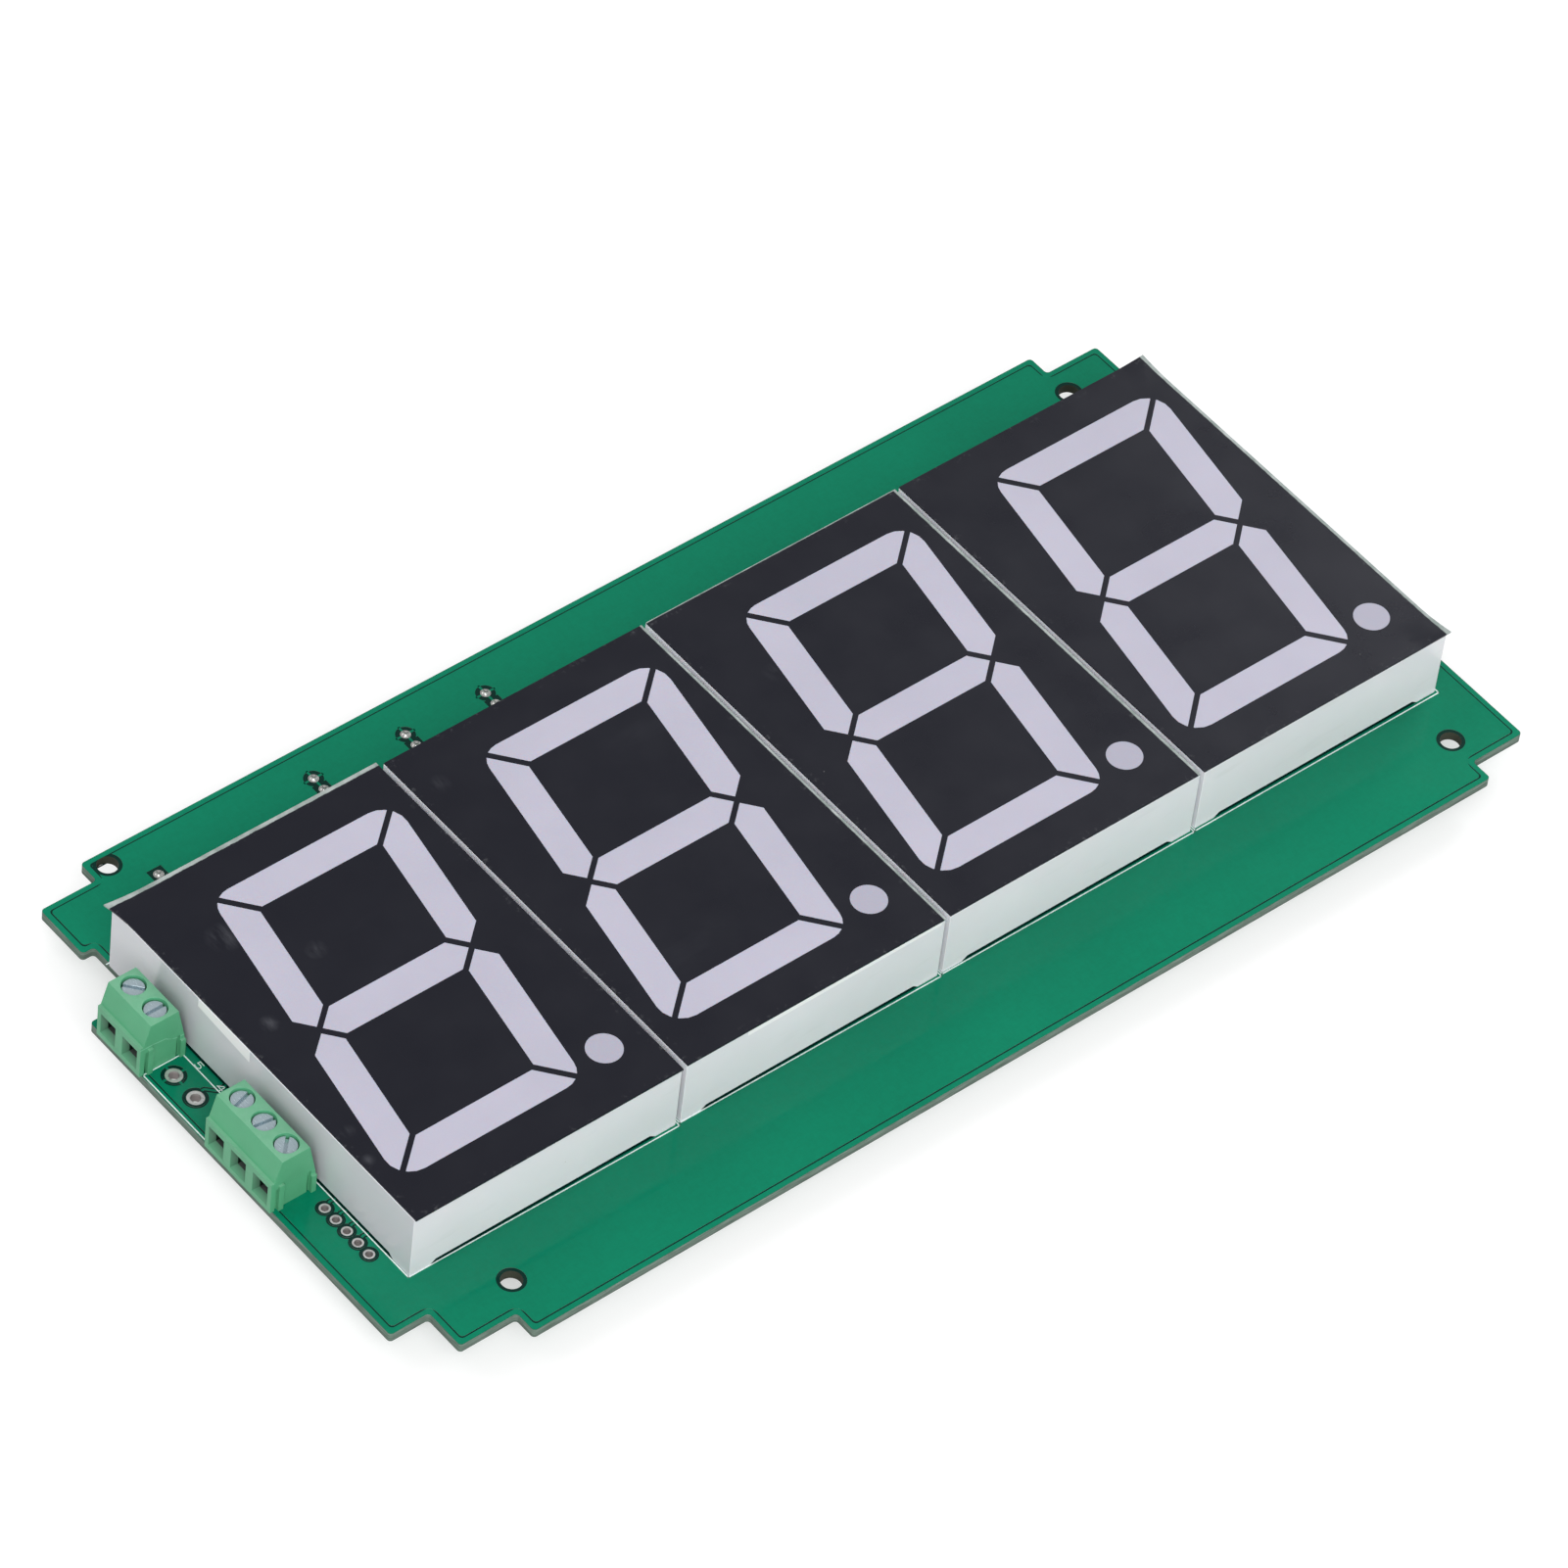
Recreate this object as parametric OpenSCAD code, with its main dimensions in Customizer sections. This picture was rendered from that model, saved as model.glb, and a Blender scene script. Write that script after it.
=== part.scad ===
// Four digit seven segment display module with a row of screw terminals.
// X runs along the row of digits, Y up each digit and Z out of the display face.
// The origin is the middle of the module's outline, level with the tips of the pins.

/* [Digit cases] */
// Width of one digit's case
case_w = 47.9; // [46.9:0.1:54]
// Gap between neighbouring cases
case_gap = 0.9; // [0.3:0.1:4]
// Length of one digit's case, up the digit
case_l = 70; // [68:0.5:74]
// Height of the case above the main board
case_h = 12.3; // [10:0.1:16]
// Thickness of the case's side walls
case_wall = 1.4; // [0.9:0.1:1.8]
// Thickness of the case's front wall
face_wall = 1.2; // [0.8:0.1:2]
// Slot between the case's long edges and the main board
foot_gap = 0.7; // [0.3:0.05:1]
// Length of each corner foot along the edges, at the main board
foot_l = 3.7; // [2.5:0.1:9]
// How much longer a foot is above the slots than at the main board
foot_slope = 1; // [0.4:0.1:1.5]
// Wall round each light cup at the face; it thickens towards the back
cup_wall = 0.8; // [0.5:0.1:1]
// How far a light cup narrows on each side towards its back
cup_taper = 0.9; // [0:0.1:1.4]
// Diameter of the posts that hold the lamp board
post_d = 1.8; // [1.2:0.1:2.2]

/* [Lit segments] */
// Height of the lit character
digit_h = 57; // [52:0.5:57]
// Width of the lit character, before it leans
digit_w = 33; // [28:0.5:33]
// Width of a segment
stroke = 5.5; // [4.5:0.1:6.2]
// Dark gap between neighbouring segments
segment_gap = 0.9; // [0.6:0.1:1.4]
// Lean of the character in degrees
slant = 10; // [0:1:10]
// Radius of the character's outer corners
corner_r = 3.8; // [1:0.1:5]
// Diameter of the decimal point
point_d = 5.6; // [4:0.1:6]
// Decimal point from the right side of the case
point_side = 6.8; // [6:0.1:7.5]
// Decimal point from the lower side of the case
point_low = 9.2; // [8:0.1:10.5]
// Thickness of the printed face film
film_t = 0.25; // [0.15:0.05:0.5]
// Film edge in from the edge of the case
film_inset = 0.1; // [0:0.05:0.5]

/* [Lamp boards] */
// Height of the lamp board's back above the main board
lamp_board_z = 1.5; // [1.2:0.1:2]
// Thickness of the lamp board
lamp_board_t = 1; // [0.6:0.1:1.6]
// Side of a lamp die
die_w = 0.4; // [0.25:0.05:0.6]
// Height of a lamp die
die_h = 0.25; // [0.1:0.05:0.4]
// Lamp dice in each segment
dice_per_segment = 4; // [2:1:5]
// Lamp dice under the decimal point
dice_per_point = 2; // [1:1:3]

/* [Digit pins] */
// Pins in each of the two rows of a digit
pins_per_row = 5; // [3:1:7]
// Distance from pin to pin in a row
pin_pitch = 2.54; // [2.3:0.01:2.8]
// Rows of pins in from the lower and upper ends of the case
pin_row_inset = 4.52; // [4.3:0.02:4.8]
// Diameter of a pin
pin_d = 0.6; // [0.45:0.05:0.7]
// Length of a pin below the main board
pin_tail = 4.5; // [4.3:0.1:6]

/* [Main board] */
// Thickness of the main board
board_t = 1.6; // [1:0.1:2.4]
// Board past the left side of the first digit
left_margin = 1.75; // [1:0.05:3]
// Board past the right side of the last digit
right_margin = 5.25; // [4.5:0.05:9]
// Board below the digits, without the lower strip
front_margin = 13.8; // [12:0.1:16]
// Board above the digits, without the upper strip
back_margin = 14.1; // [13:0.1:16]
// How far the lower and upper strips stand out
strip_out = 3.9; // [3:0.1:6]
// Distance of the strips' ends from the sides of the board
strip_inset = 10; // [8:0.5:12]
// Radius of the board's corners
board_r = 0.6; // [0.2:0.1:1.2]
// How far the terminal ledge stands out of the left side
ledge_out = 6.8; // [6.2:0.1:9]
// Upper end of the terminal ledge from the upper edge of the digits
ledge_high_in = 7; // [5:0.1:8]
// Lower end of the terminal ledge past the lower edge of the digits
ledge_low = 6.7; // [5:0.1:8]
// Depth of the recess above the terminal ledge
recess_in = 2.1; // [1:0.1:3]
// Length of the recess above the terminal ledge
recess_l = 11; // [8:0.5:12]

/* [Mounting holes] */
// Diameter of the four mounting holes
mount_d = 3.3; // [2.7:0.1:3.4]
// Left holes from the left side of the board
mount_left = 13.1; // [12.6:0.1:15]
// Right holes from the right side of the board
mount_right = 9.85; // [9.2:0.05:12]
// Lower and right upper holes from the strips' outer edges
mount_edge = 9; // [7:0.1:9.6]
// Left upper hole from the upper strip's outer edge
mount_edge_upper_left = 2.4; // [2.3:0.1:5]

/* [Plated holes] */
// Thickness of the copper rings on the board's faces
ring_t = 0.05; // [0.03:0.01:0.1]
// Wall of the plating in a hole
plating_t = 0.06; // [0.04:0.01:0.1]
// Finished hole for a digit pin
pin_hole_d = 0.95; // [0.85:0.05:1.1]
// Ring round a digit pin
pin_ring_d = 1.9; // [1.6:0.1:2.2]
// Finished holes of the empty header row
header_hole_d = 1.15; // [0.9:0.05:1.3]
// Rings of the empty header row
header_ring_d = 1.95; // [1.7:0.05:2.2]
// Holes in the empty header row
header_holes = 5; // [3:1:6]
// Distance from hole to hole in the header row
header_pitch = 2.54; // [2.3:0.01:2.8]
// Middle of the header row below the first pole
header_below = 11.3; // [9.5:0.1:13]
// Header row from the outer edge of the terminal ledge
header_inset = 6.45; // [5.8:0.05:6.6]
// Finished holes of the empty terminal position
spare_hole_d = 1.6; // [1.2:0.1:1.9]
// Rings of the empty terminal position
spare_ring_d = 3; // [2.6:0.1:3.4]
// Finished hole for a capacitor lead, over the lead's diameter
can_hole_room = 0.3; // [0.2:0.05:0.4]
// Width of the ring round a capacitor lead's hole
can_ring_w = 0.4; // [0.3:0.05:0.5]
// Height of the solder on a digit pin
pin_solder_h = 1.1; // [0.8:0.1:1.5]
// Height of the solder on a clamp's pin
clamp_solder_h = 1.3; // [0.9:0.1:1.6]
// Height of the solder on a capacitor lead
lead_solder_h = 0.5; // [0.4:0.05:0.7]

/* [Screw terminals] */
// Distance from pole to pole
pole_pitch = 5.08; // [5:0.02:5.2]
// Last pole from the upper end of the terminal ledge
pole_end = 4.64; // [3.5:0.02:6]
// Poles from the outer edge of the terminal ledge
pole_inset = 3.8; // [3.6:0.05:4]
// Height of a terminal block
block_h = 10; // [9.6:0.1:12]
// Front face of a block from its poles
block_front = 4.25; // [4.1:0.05:4.8]
// Back face of a block from its poles
block_back = 3.65; // [3.5:0.05:3.7]
// Height of the upright part of the front face
block_front_h = 6.1; // [5.6:0.1:6.4]
// Height of the upright part of the back face
block_back_h = 3.9; // [3.5:0.1:5]
// Depth of the shelf above the front face
block_step = 0.5; // [0.3:0.05:0.8]
// Width of a block's flat top
block_top_w = 4.9; // [4.6:0.1:5.2]
// How far the interlocking ribs stand out of a block's end
rib_out = 0.35; // [0.2:0.05:0.5]
// Width of an interlocking rib
rib_w = 0.85; // [0.6:0.05:1]
// Depth of the panel between the ribs
panel_in = 0.15; // [0.05:0.05:0.3]
// Width of a wire entry at its mouth
entry_w = 3.5; // [3:0.1:3.8]
// Height of a wire entry at its mouth
entry_h = 4.1; // [3.4:0.1:4.4]
// Height of a wire entry's lower lip above the board
entry_low = 0.9; // [0.7:0.05:1.1]
// Depth of the funnel behind the mouth
funnel_d = 0.8; // [0.5:0.1:1]
// Side of the square throat behind the funnel
throat_w = 2; // [1.6:0.1:2.2]
// Diameter of the screw wells
well_d = 3.75; // [3.5:0.05:3.95]
// Diameter of a clamp screw's head
head_d = 3.35; // [3:0.05:3.4]
// Height of a clamp screw's head
head_h = 1.4; // [1:0.1:1.5]
// Depth of the screw heads below the block's top
head_sink = 0.45; // [0.2:0.05:0.7]
// Diameter of a clamp screw's thread
thread_d = 2.4; // [2:0.1:2.5]
// Width of the slot in a screw head
slot_w = 0.55; // [0.4:0.05:0.7]
// Depth of the slot in a screw head
slot_depth = 0.6; // [0.4:0.1:0.8]
// Diameter of the solder pins under the clamps
clamp_pin_d = 1; // [0.8:0.1:1.1]
// Length of the solder pins below the main board
clamp_tail = 1.9; // [1.6:0.1:3]
// Finished holes for the clamps' solder pins
clamp_hole_d = 1.3; // [1.2:0.05:1.5]
// Rings round the clamps' solder pins
clamp_ring_d = 2.4; // [2:0.1:2.8]

/* [Underside parts] */
// Diameter of the lying capacitors
can_d = 4; // [3.5:0.1:4]
// Length of the lying capacitors
can_l = 7; // [5:0.5:9]
// Distance between a capacitor's two leads
can_lead_pitch = 2.54; // [2:0.02:2.6]
// Diameter of a capacitor lead
can_lead_d = 0.5; // [0.4:0.05:0.55]
// First capacitor from the left side of the first digit
can_1_along = 16.3; // [14:0.1:20]
// First capacitor's upper lead past the digits
can_1_out = 9.9; // [9:0.1:12.5]
// Second capacitor from the left side of the first digit
can_2_along = 46; // [42:0.1:50]
// Second capacitor's upper lead past the digits
can_2_out = 11.9; // [9:0.1:12.5]
// Third capacitor from the left side of the first digit
can_3_along = 62.4; // [59:0.1:65]
// Third capacitor's upper lead past the digits
can_3_out = 11.1; // [9:0.1:12.5]
// Fourth capacitor from the left side of the first digit
can_4_along = 77.2; // [75:0.1:90]
// Fourth capacitor's upper lead past the digits
can_4_out = 10.9; // [9:0.1:12.5]
// Control chip to the left of the second digit's middle
control_left = 16; // [12:0.5:18]
// Control chip below the second digit's middle
control_low = 18; // [14:0.5:20]
// Regulator in from the first digit's upper left corner, both ways
regulator_in = 6; // [5:0.5:12]
// Row of resistors above each driver chip
resistors_up = 10; // [8:0.5:16]
// Chip capacitor beside each chip
capacitor_beside = 6; // [5:0.5:9]
// Width of a chip body across its leads
chip_w = 3.9; // [3.5:0.1:4.5]
// Height of a chip body
chip_h = 1.45; // [1.2:0.05:1.8]
// Clearance under a chip body
chip_gap = 0.15; // [0.1:0.05:0.3]
// Distance from lead to lead on a chip
chip_pitch = 1.27; // [1.2:0.01:1.35]
// Leads on each side of a driver chip
driver_leads_a_side = 8; // [7:1:8]
// Leads on each side of the control chip
control_leads_a_side = 7; // [5:1:8]
// Length of a chip resistor or chip capacitor
chip_part_l = 2; // [1.6:0.1:2.2]
// Width of a chip resistor or chip capacitor
chip_part_w = 1.25; // [0.8:0.05:1.4]
// Height of a chip resistor
resistor_h = 0.5; // [0.35:0.05:0.6]
// Height of a chip capacitor
capacitor_h = 0.9; // [0.6:0.05:1.2]

/* [Hidden] */
$fn = 32;
// Clearance of a piece that is placed in another by hand
loose_fit = 0.15;
// Clearance between surfaces that all but touch
close_fit = 0.03;
// How far a cutting shape runs past the face that it cuts
past = 0.5;
digits = 4;
digit_pitch = case_w + case_gap;
pin_rows = case_l - 2 * pin_row_inset;
arc_steps = 5;

// Heights in the module, from the pin tips up
board_z = pin_tail;
board_top = board_z + board_t;
face_top = case_h + film_t;

// Plan of the module, from the lower left corner of the first digit's case
row_l = (digits - 1) * digit_pitch + case_w;
board_left = -left_margin;
board_right = row_l + right_margin;
board_low = -front_margin;
board_high = case_l + back_margin;
ledge_left = board_left - ledge_out;
ledge_high = case_l - ledge_high_in;
pole_x = ledge_left + pole_inset;
header_x = ledge_left + header_inset;
module_left = min(ledge_left, pole_x - block_front);
module_mid = [(module_left + board_right) / 2, (board_low + board_high) / 2];

// Where the capacitors' upper leads come through the board
can_sites = [
    [can_1_along, case_l + can_1_out], [can_2_along, case_l + can_2_out],
    [can_3_along, case_l + can_3_out], [can_4_along, case_l + can_4_out]];
pole_count = 8;
signal_poles = [0, 1, 2];
spare_poles = [4, 5];
power_poles = [6, 7];
signal_slots = [45, -8, 16];
power_slots = [0, -49];

// Outlines and general shapes

function turned(points) = [for (p = points) -p];
function flipped(points) = [for (i = [len(points) - 1:-1:0]) [-points[i][0], points[i][1]]];
function leaned(points) = [for (p = points) [p[0] + p[1] * tan(slant), p[1]]];

// Points of a small arc at the corner b of the path a, b, c
function corner_arc(a, b, c, r) =
    let (
        u = (a - b) / norm(a - b),
        v = (c - b) / norm(c - b),
        angle = acos(u * v),
        middle = b + (u + v) / norm(u + v) * r / sin(angle / 2),
        reach = r / tan(angle / 2),
        from = (b + u * reach - middle) / r,
        to = (b + v * reach - middle) / r,
        sweep = 180 - angle
    )
    [for (i = [0:arc_steps])
        let (t = i / arc_steps)
        middle + r * (sin((1 - t) * sweep) * from + sin(t * sweep) * to) / sin(sweep)];

function rounded(points, r) =
    let (n = len(points))
    [for (i = [0:n - 1]) each corner_arc(points[(i + n - 1) % n], points[i], points[(i + 1) % n], r)];

function box_points(w, l) = [[-w / 2, -l / 2], [w / 2, -l / 2], [w / 2, l / 2], [-w / 2, l / 2]];

// Straight-sided body between an outline at z0 and a like outline at z1
module loft(lower, upper, z0, z1) {
    n = len(lower);
    polyhedron(
        points = concat([for (p = lower) [p[0], p[1], z0]], [for (p = upper) [p[0], p[1], z1]]),
        faces = concat(
            [[for (i = [0:n - 1]) i]],
            [[for (i = [n - 1:-1:0]) n + i]],
            [for (i = [0:n - 1]) [i, n + i, n + (i + 1) % n, (i + 1) % n]]));
}

module prism(points, z0, z1) {
    translate([0, 0, z0]) linear_extrude(z1 - z0) polygon(points);
}

// A block that is w wide and l long, with its foot at z0 and its top at z1
module slab(w, l, z0, z1) {
    translate([-w / 2, -l / 2, z0]) cube([w, l, z1 - z0]);
}

module rod(d, z0, z1) {
    translate([0, 0, z0]) cylinder(d = d, h = z1 - z0);
}

// Puts a shape drawn in the plan of the module on the main board's top
module on_board() {
    translate([-module_mid[0], -module_mid[1], board_top]) children();
}

// Puts a shape drawn face up on the main board's underside
module under_board() {
    translate([-module_mid[0], -module_mid[1], board_z]) mirror([0, 0, 1]) children();
}

module at_digit(number) {
    on_board() translate([(number - 1) * digit_pitch + case_w / 2, case_l / 2, 0]) children();
}

// The lit character, drawn about the middle of its case

half_w = digit_w / 2;
half_h = digit_h / 2;
point_at = [case_w / 2 - point_side, point_low - case_l / 2];

// Distance along an axis from a corner's diagonal to an edge that is set in by inset
function cut(inset) = (segment_gap / 2 + inset) * sqrt(2);

function top_bar(inset) = let (k = cut(inset)) [
    [-half_w + k + inset, half_h - inset],
    [-half_w + k + stroke - inset, half_h - stroke + inset],
    [half_w - k - stroke + inset, half_h - stroke + inset],
    [half_w - k - inset, half_h - inset]];

function upper_left_bar(inset) = let (k = cut(inset)) [
    [-half_w + inset, half_h - k - inset],
    [-half_w + inset, stroke / 2 - inset + k],
    [-half_w + stroke / 2, k],
    [-half_w + stroke - inset, stroke / 2 - inset + k],
    [-half_w + stroke - inset, half_h - k - stroke + inset]];

function middle_bar(inset) = let (k = cut(inset)) [
    [-half_w + stroke / 2 + k, 0],
    [-half_w + stroke + k - inset, -stroke / 2 + inset],
    [half_w - stroke - k + inset, -stroke / 2 + inset],
    [half_w - stroke / 2 - k, 0],
    [half_w - stroke - k + inset, stroke / 2 - inset],
    [-half_w + stroke + k - inset, stroke / 2 - inset]];

// Outlines of the seven segments, each set in by inset
function segment_outlines(inset) = [
    leaned(top_bar(inset)),
    leaned(flipped(upper_left_bar(inset))),
    turned(leaned(upper_left_bar(inset))),
    turned(leaned(top_bar(inset))),
    turned(leaned(flipped(upper_left_bar(inset)))),
    leaned(upper_left_bar(inset)),
    leaned(middle_bar(inset))];

// Outline of the whole character with its rounded corners, set in by inset
function character_outline(inset) =
    rounded(leaned(box_points(digit_w - 2 * inset, digit_h - 2 * inset)), max(0.2, corner_r - inset));

// Seven bars and the point between two heights, set in by inset_0 and inset_1 there
module character(inset_0, inset_1, z0, z1) {
    lower = segment_outlines(inset_0);
    upper = segment_outlines(inset_1);
    intersection() {
        union() {
            for (i = [0:len(lower) - 1]) loft(lower[i], upper[i], z0, z1);
        }
        prism(character_outline(min(inset_0, inset_1)), z0 - past, z1 + past);
    }
    translate([point_at[0], point_at[1], z0])
        cylinder(d1 = point_d - 2 * inset_0, d2 = point_d - 2 * inset_1, h = z1 - z0);
}

// Straight bars and point
module straight_character(inset, z0, z1) {
    intersection() {
        union() {
            for (outline = segment_outlines(inset)) prism(outline, z0, z1);
        }
        prism(character_outline(inset), z0 - past, z1 + past);
    }
    translate([point_at[0], point_at[1], 0]) rod(point_d - 2 * inset, z0, z1);
}

// One digit of the display

lamp_board_top = lamp_board_z + lamp_board_t;
cup_top = case_h - face_wall;
lamp_board_w = case_w - 2 * case_wall - 2 * loose_fit;
lamp_board_l = case_l - 2 * case_wall - 2 * loose_fit;
post_x = case_w / 2 - case_wall - post_d;
post_y = case_l / 2 - case_wall - post_d;
row_spread = (pins_per_row - 1) / 2;

module at_posts() {
    for (x = [-post_x, post_x], y = [-post_y, post_y]) translate([x, y, 0]) children();
}

module at_pins() {
    for (y = [-pin_rows / 2, pin_rows / 2], i = [-row_spread:row_spread])
        translate([i * pin_pitch, y, 0]) children();
}

// Slot between the feet of two opposite walls, with sloping ends
module edge_slot(side, across) {
    half = side / 2 - foot_l;
    run = foot_slope * past / foot_gap;
    translate([0, across / 2 + past, 0]) rotate([90, 0, 0]) linear_extrude(across + 2 * past) polygon([
        [-half - run, -past], [half + run, -past],
        [half - foot_slope, foot_gap], [-half + foot_slope, foot_gap]]);
}

// Moulded case: an open-backed box with a light cup behind each window
module reflector_case() {
    color("white") difference() {
        union() {
            difference() {
                slab(case_w, case_l, 0, case_h);
                slab(case_w - 2 * case_wall, case_l - 2 * case_wall, -past, cup_top);
                edge_slot(case_w, case_l);
                rotate([0, 0, 90]) edge_slot(case_l, case_w);
            }
            straight_character(-cup_wall, lamp_board_top, cup_top + face_wall / 2);
            at_posts() {
                rod(post_d, lamp_board_z - loose_fit, cup_top + face_wall / 2);
                rod(post_d * 1.5, lamp_board_z - loose_fit - post_d / 4, lamp_board_z - loose_fit);
            }
        }
        character(cup_taper, 0, lamp_board_top - past, cup_top);
        straight_character(0, cup_top - close_fit, case_h + past);
    }
}

// Printed film on the face, cut out over the segments
module face_film() {
    color([0.12, 0.12, 0.14]) difference() {
        slab(case_w - 2 * film_inset, case_l - 2 * film_inset, case_h, face_top);
        straight_character(0, case_h - past, face_top + past);
    }
}

// Cast resin that fills the cups and shows as the eight light areas
module segment_resin() {
    resin_z = lamp_board_top + die_h + close_fit;
    inset_at_foot = cup_taper * (cup_top - resin_z) / (cup_top - lamp_board_top + past) + close_fit;
    color([0.85, 0.84, 0.9]) union() {
        character(inset_at_foot, close_fit, resin_z, cup_top);
        straight_character(close_fit, cup_top, face_top);
    }
}

module lamp_board() {
    color([0.8, 0.78, 0.6]) difference() {
        slab(lamp_board_w, lamp_board_l, lamp_board_z, lamp_board_top);
        at_posts() rod(post_d + 2 * loose_fit, lamp_board_z - past, lamp_board_top + past);
        at_pins() rod(pin_d + 2 * close_fit, lamp_board_z - past, lamp_board_top + past);
    }
}

// Middle of each segment, before it leans
bar_x = half_w - stroke / 2;
bar_y = half_h - stroke / 2;
die_sites = concat(
    [for (y = [-bar_y, 0, bar_y], i = [0:dice_per_segment - 1])
        [((i + 0.5) / dice_per_segment - 0.5) * (digit_w - 3 * stroke), y]],
    [for (x = [-bar_x, bar_x], side = [-1, 1], i = [0:dice_per_segment - 1])
        [x, side * half_h / 2 + ((i + 0.5) / dice_per_segment - 0.5) * (half_h - 2 * stroke)]]);

module lamp_dice() {
    color("gold") {
        for (site = leaned(die_sites))
            translate([site[0], site[1], 0]) slab(die_w, die_w, lamp_board_top, lamp_board_top + die_h);
        for (i = [0:dice_per_point - 1])
            translate([point_at[0] + (i - (dice_per_point - 1) / 2) * 2.5 * die_w, point_at[1], 0])
                slab(die_w, die_w, lamp_board_top, lamp_board_top + die_h);
    }
}

module digit_pins() {
    color("silver") at_pins() {
        rod(pin_d, -board_t - pin_tail, lamp_board_top);
        rod(pin_d * 1.8, lamp_board_top, lamp_board_top + pin_d / 2);
    }
}

// Main board, with its plated holes and solder

strip_left = board_left + strip_inset;
strip_right = board_right - strip_inset;
recess_left = board_left + recess_in;
board_points = [
    [strip_left, board_low - strip_out], [strip_right, board_low - strip_out],
    [strip_right, board_low], [board_right, board_low],
    [board_right, board_high], [strip_right, board_high],
    [strip_right, board_high + strip_out], [strip_left, board_high + strip_out],
    [strip_left, board_high], [board_left, board_high],
    [board_left, ledge_high + recess_l], [recess_left, ledge_high + recess_l],
    [recess_left, ledge_high], [ledge_left, ledge_high],
    [ledge_left, -ledge_low], [board_left, -ledge_low],
    [board_left, board_low], [strip_left, board_low]];

mount_sites = [
    [board_left + mount_left, board_low - strip_out + mount_edge],
    [board_left + mount_left, board_high + strip_out - mount_edge_upper_left],
    [board_right - mount_right, board_low - strip_out + mount_edge],
    [board_right - mount_right, board_high + strip_out - mount_edge]];

digit_pin_sites = [for (d = [0:digits - 1], y = [-1, 1], i = [-row_spread:row_spread])
    [d * digit_pitch + case_w / 2 + i * pin_pitch, case_l / 2 + y * pin_rows / 2]];
pole_start = ledge_high - pole_end - (pole_count - 1) * pole_pitch;
header_sites = [for (i = [0:header_holes - 1])
    [header_x, pole_start - header_below + (i - (header_holes - 1) / 2) * header_pitch]];
function pole_sites(poles) = [for (i = poles) [pole_x, pole_start + i * pole_pitch]];
clamp_sites = concat(pole_sites(signal_poles), pole_sites(power_poles));
can_lead_sites = [for (site = can_sites, i = [0, 1]) [site[0], site[1] - i * can_lead_pitch]];
can_hole_d = can_lead_d + can_hole_room;
can_ring_d = can_hole_d + 2 * can_ring_w;

// Runs its children at each site
module at_sites(sites) {
    for (site = sites) translate([site[0], site[1], 0]) children();
}

module board_holes(sites, hole_d) {
    at_sites(sites) rod(hole_d + 2 * plating_t + 2 * close_fit, -board_t - past, past);
}

module main_board() {
    color([0.07, 0.45, 0.32]) on_board() difference() {
        prism(rounded(board_points, board_r), -board_t, 0);
        at_sites(mount_sites) rod(mount_d, -board_t - past, past);
        board_holes(digit_pin_sites, pin_hole_d);
        board_holes(header_sites, header_hole_d);
        board_holes(pole_sites(spare_poles), spare_hole_d);
        board_holes(clamp_sites, clamp_hole_d);
        board_holes(can_lead_sites, can_hole_d);
    }
}

// Plating of one hole: a tube with a ring on each face of the board
module plated_hole(hole_d, ring_d) {
    difference() {
        union() {
            rod(hole_d + 2 * plating_t, -board_t - ring_t, ring_t);
            rod(ring_d, 0, ring_t);
            rod(ring_d, -board_t - ring_t, -board_t);
        }
        rod(hole_d, -board_t - past, past);
    }
}

module plated_holes() {
    color([0.85, 0.85, 0.82]) on_board() {
        at_sites(digit_pin_sites) plated_hole(pin_hole_d, pin_ring_d);
        at_sites(header_sites) plated_hole(header_hole_d, header_ring_d);
        at_sites(pole_sites(spare_poles)) plated_hole(spare_hole_d, spare_ring_d);
        at_sites(clamp_sites) plated_hole(clamp_hole_d, clamp_ring_d);
        at_sites(can_lead_sites) plated_hole(can_hole_d, can_ring_d);
    }
}

// Cone of solder round a round lead, standing on a ring
module solder_cone(lead_d, ring_d, height) {
    difference() {
        cylinder(d1 = ring_d * 0.92, d2 = lead_d + 4 * close_fit, h = height);
        rod(lead_d + 2 * close_fit, -past, height + past);
    }
}

module pin_solder() {
    color("lightgrey") under_board() translate([0, 0, ring_t]) {
        at_sites(digit_pin_sites) solder_cone(pin_d, pin_ring_d, pin_solder_h);
        at_sites(clamp_sites) solder_cone(clamp_pin_d, clamp_ring_d, clamp_solder_h);
    }
}

module lead_solder() {
    color("lightgrey") on_board() translate([0, 0, ring_t])
        at_sites(can_lead_sites) solder_cone(can_lead_d, can_ring_d, lead_solder_h);
}

// Screw terminals, drawn about their first pole

block_top_x = -block_top_w / 2 - 0.15;
cavity_w = 4;
cavity_top = 7.4;
cage_w = cavity_w - 2 * loose_fit;
cage_wall = 0.6;
cage_foot = 0.4;
cage_roof = 1.2;
cage_top = cavity_top - loose_fit;
entry_mid = entry_low + entry_h / 2;

block_profile = [
    [-block_front, 0], [block_back, 0], [block_back, block_back_h],
    [block_top_x + block_top_w, block_h], [block_top_x, block_h],
    [-block_front + block_step, block_front_h], [-block_front, block_front_h]];

// Stands a shape drawn on the Y and Z axes upright, facing along X
module facing_x() {
    rotate([90, 0, 90]) children();
}

module block_body(poles, end) {
    translate([0, end + (poles - 0.5) * pole_pitch, 0]) rotate([90, 0, 0])
        linear_extrude(poles * pole_pitch - 2 * close_fit) polygon(block_profile);
}

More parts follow.
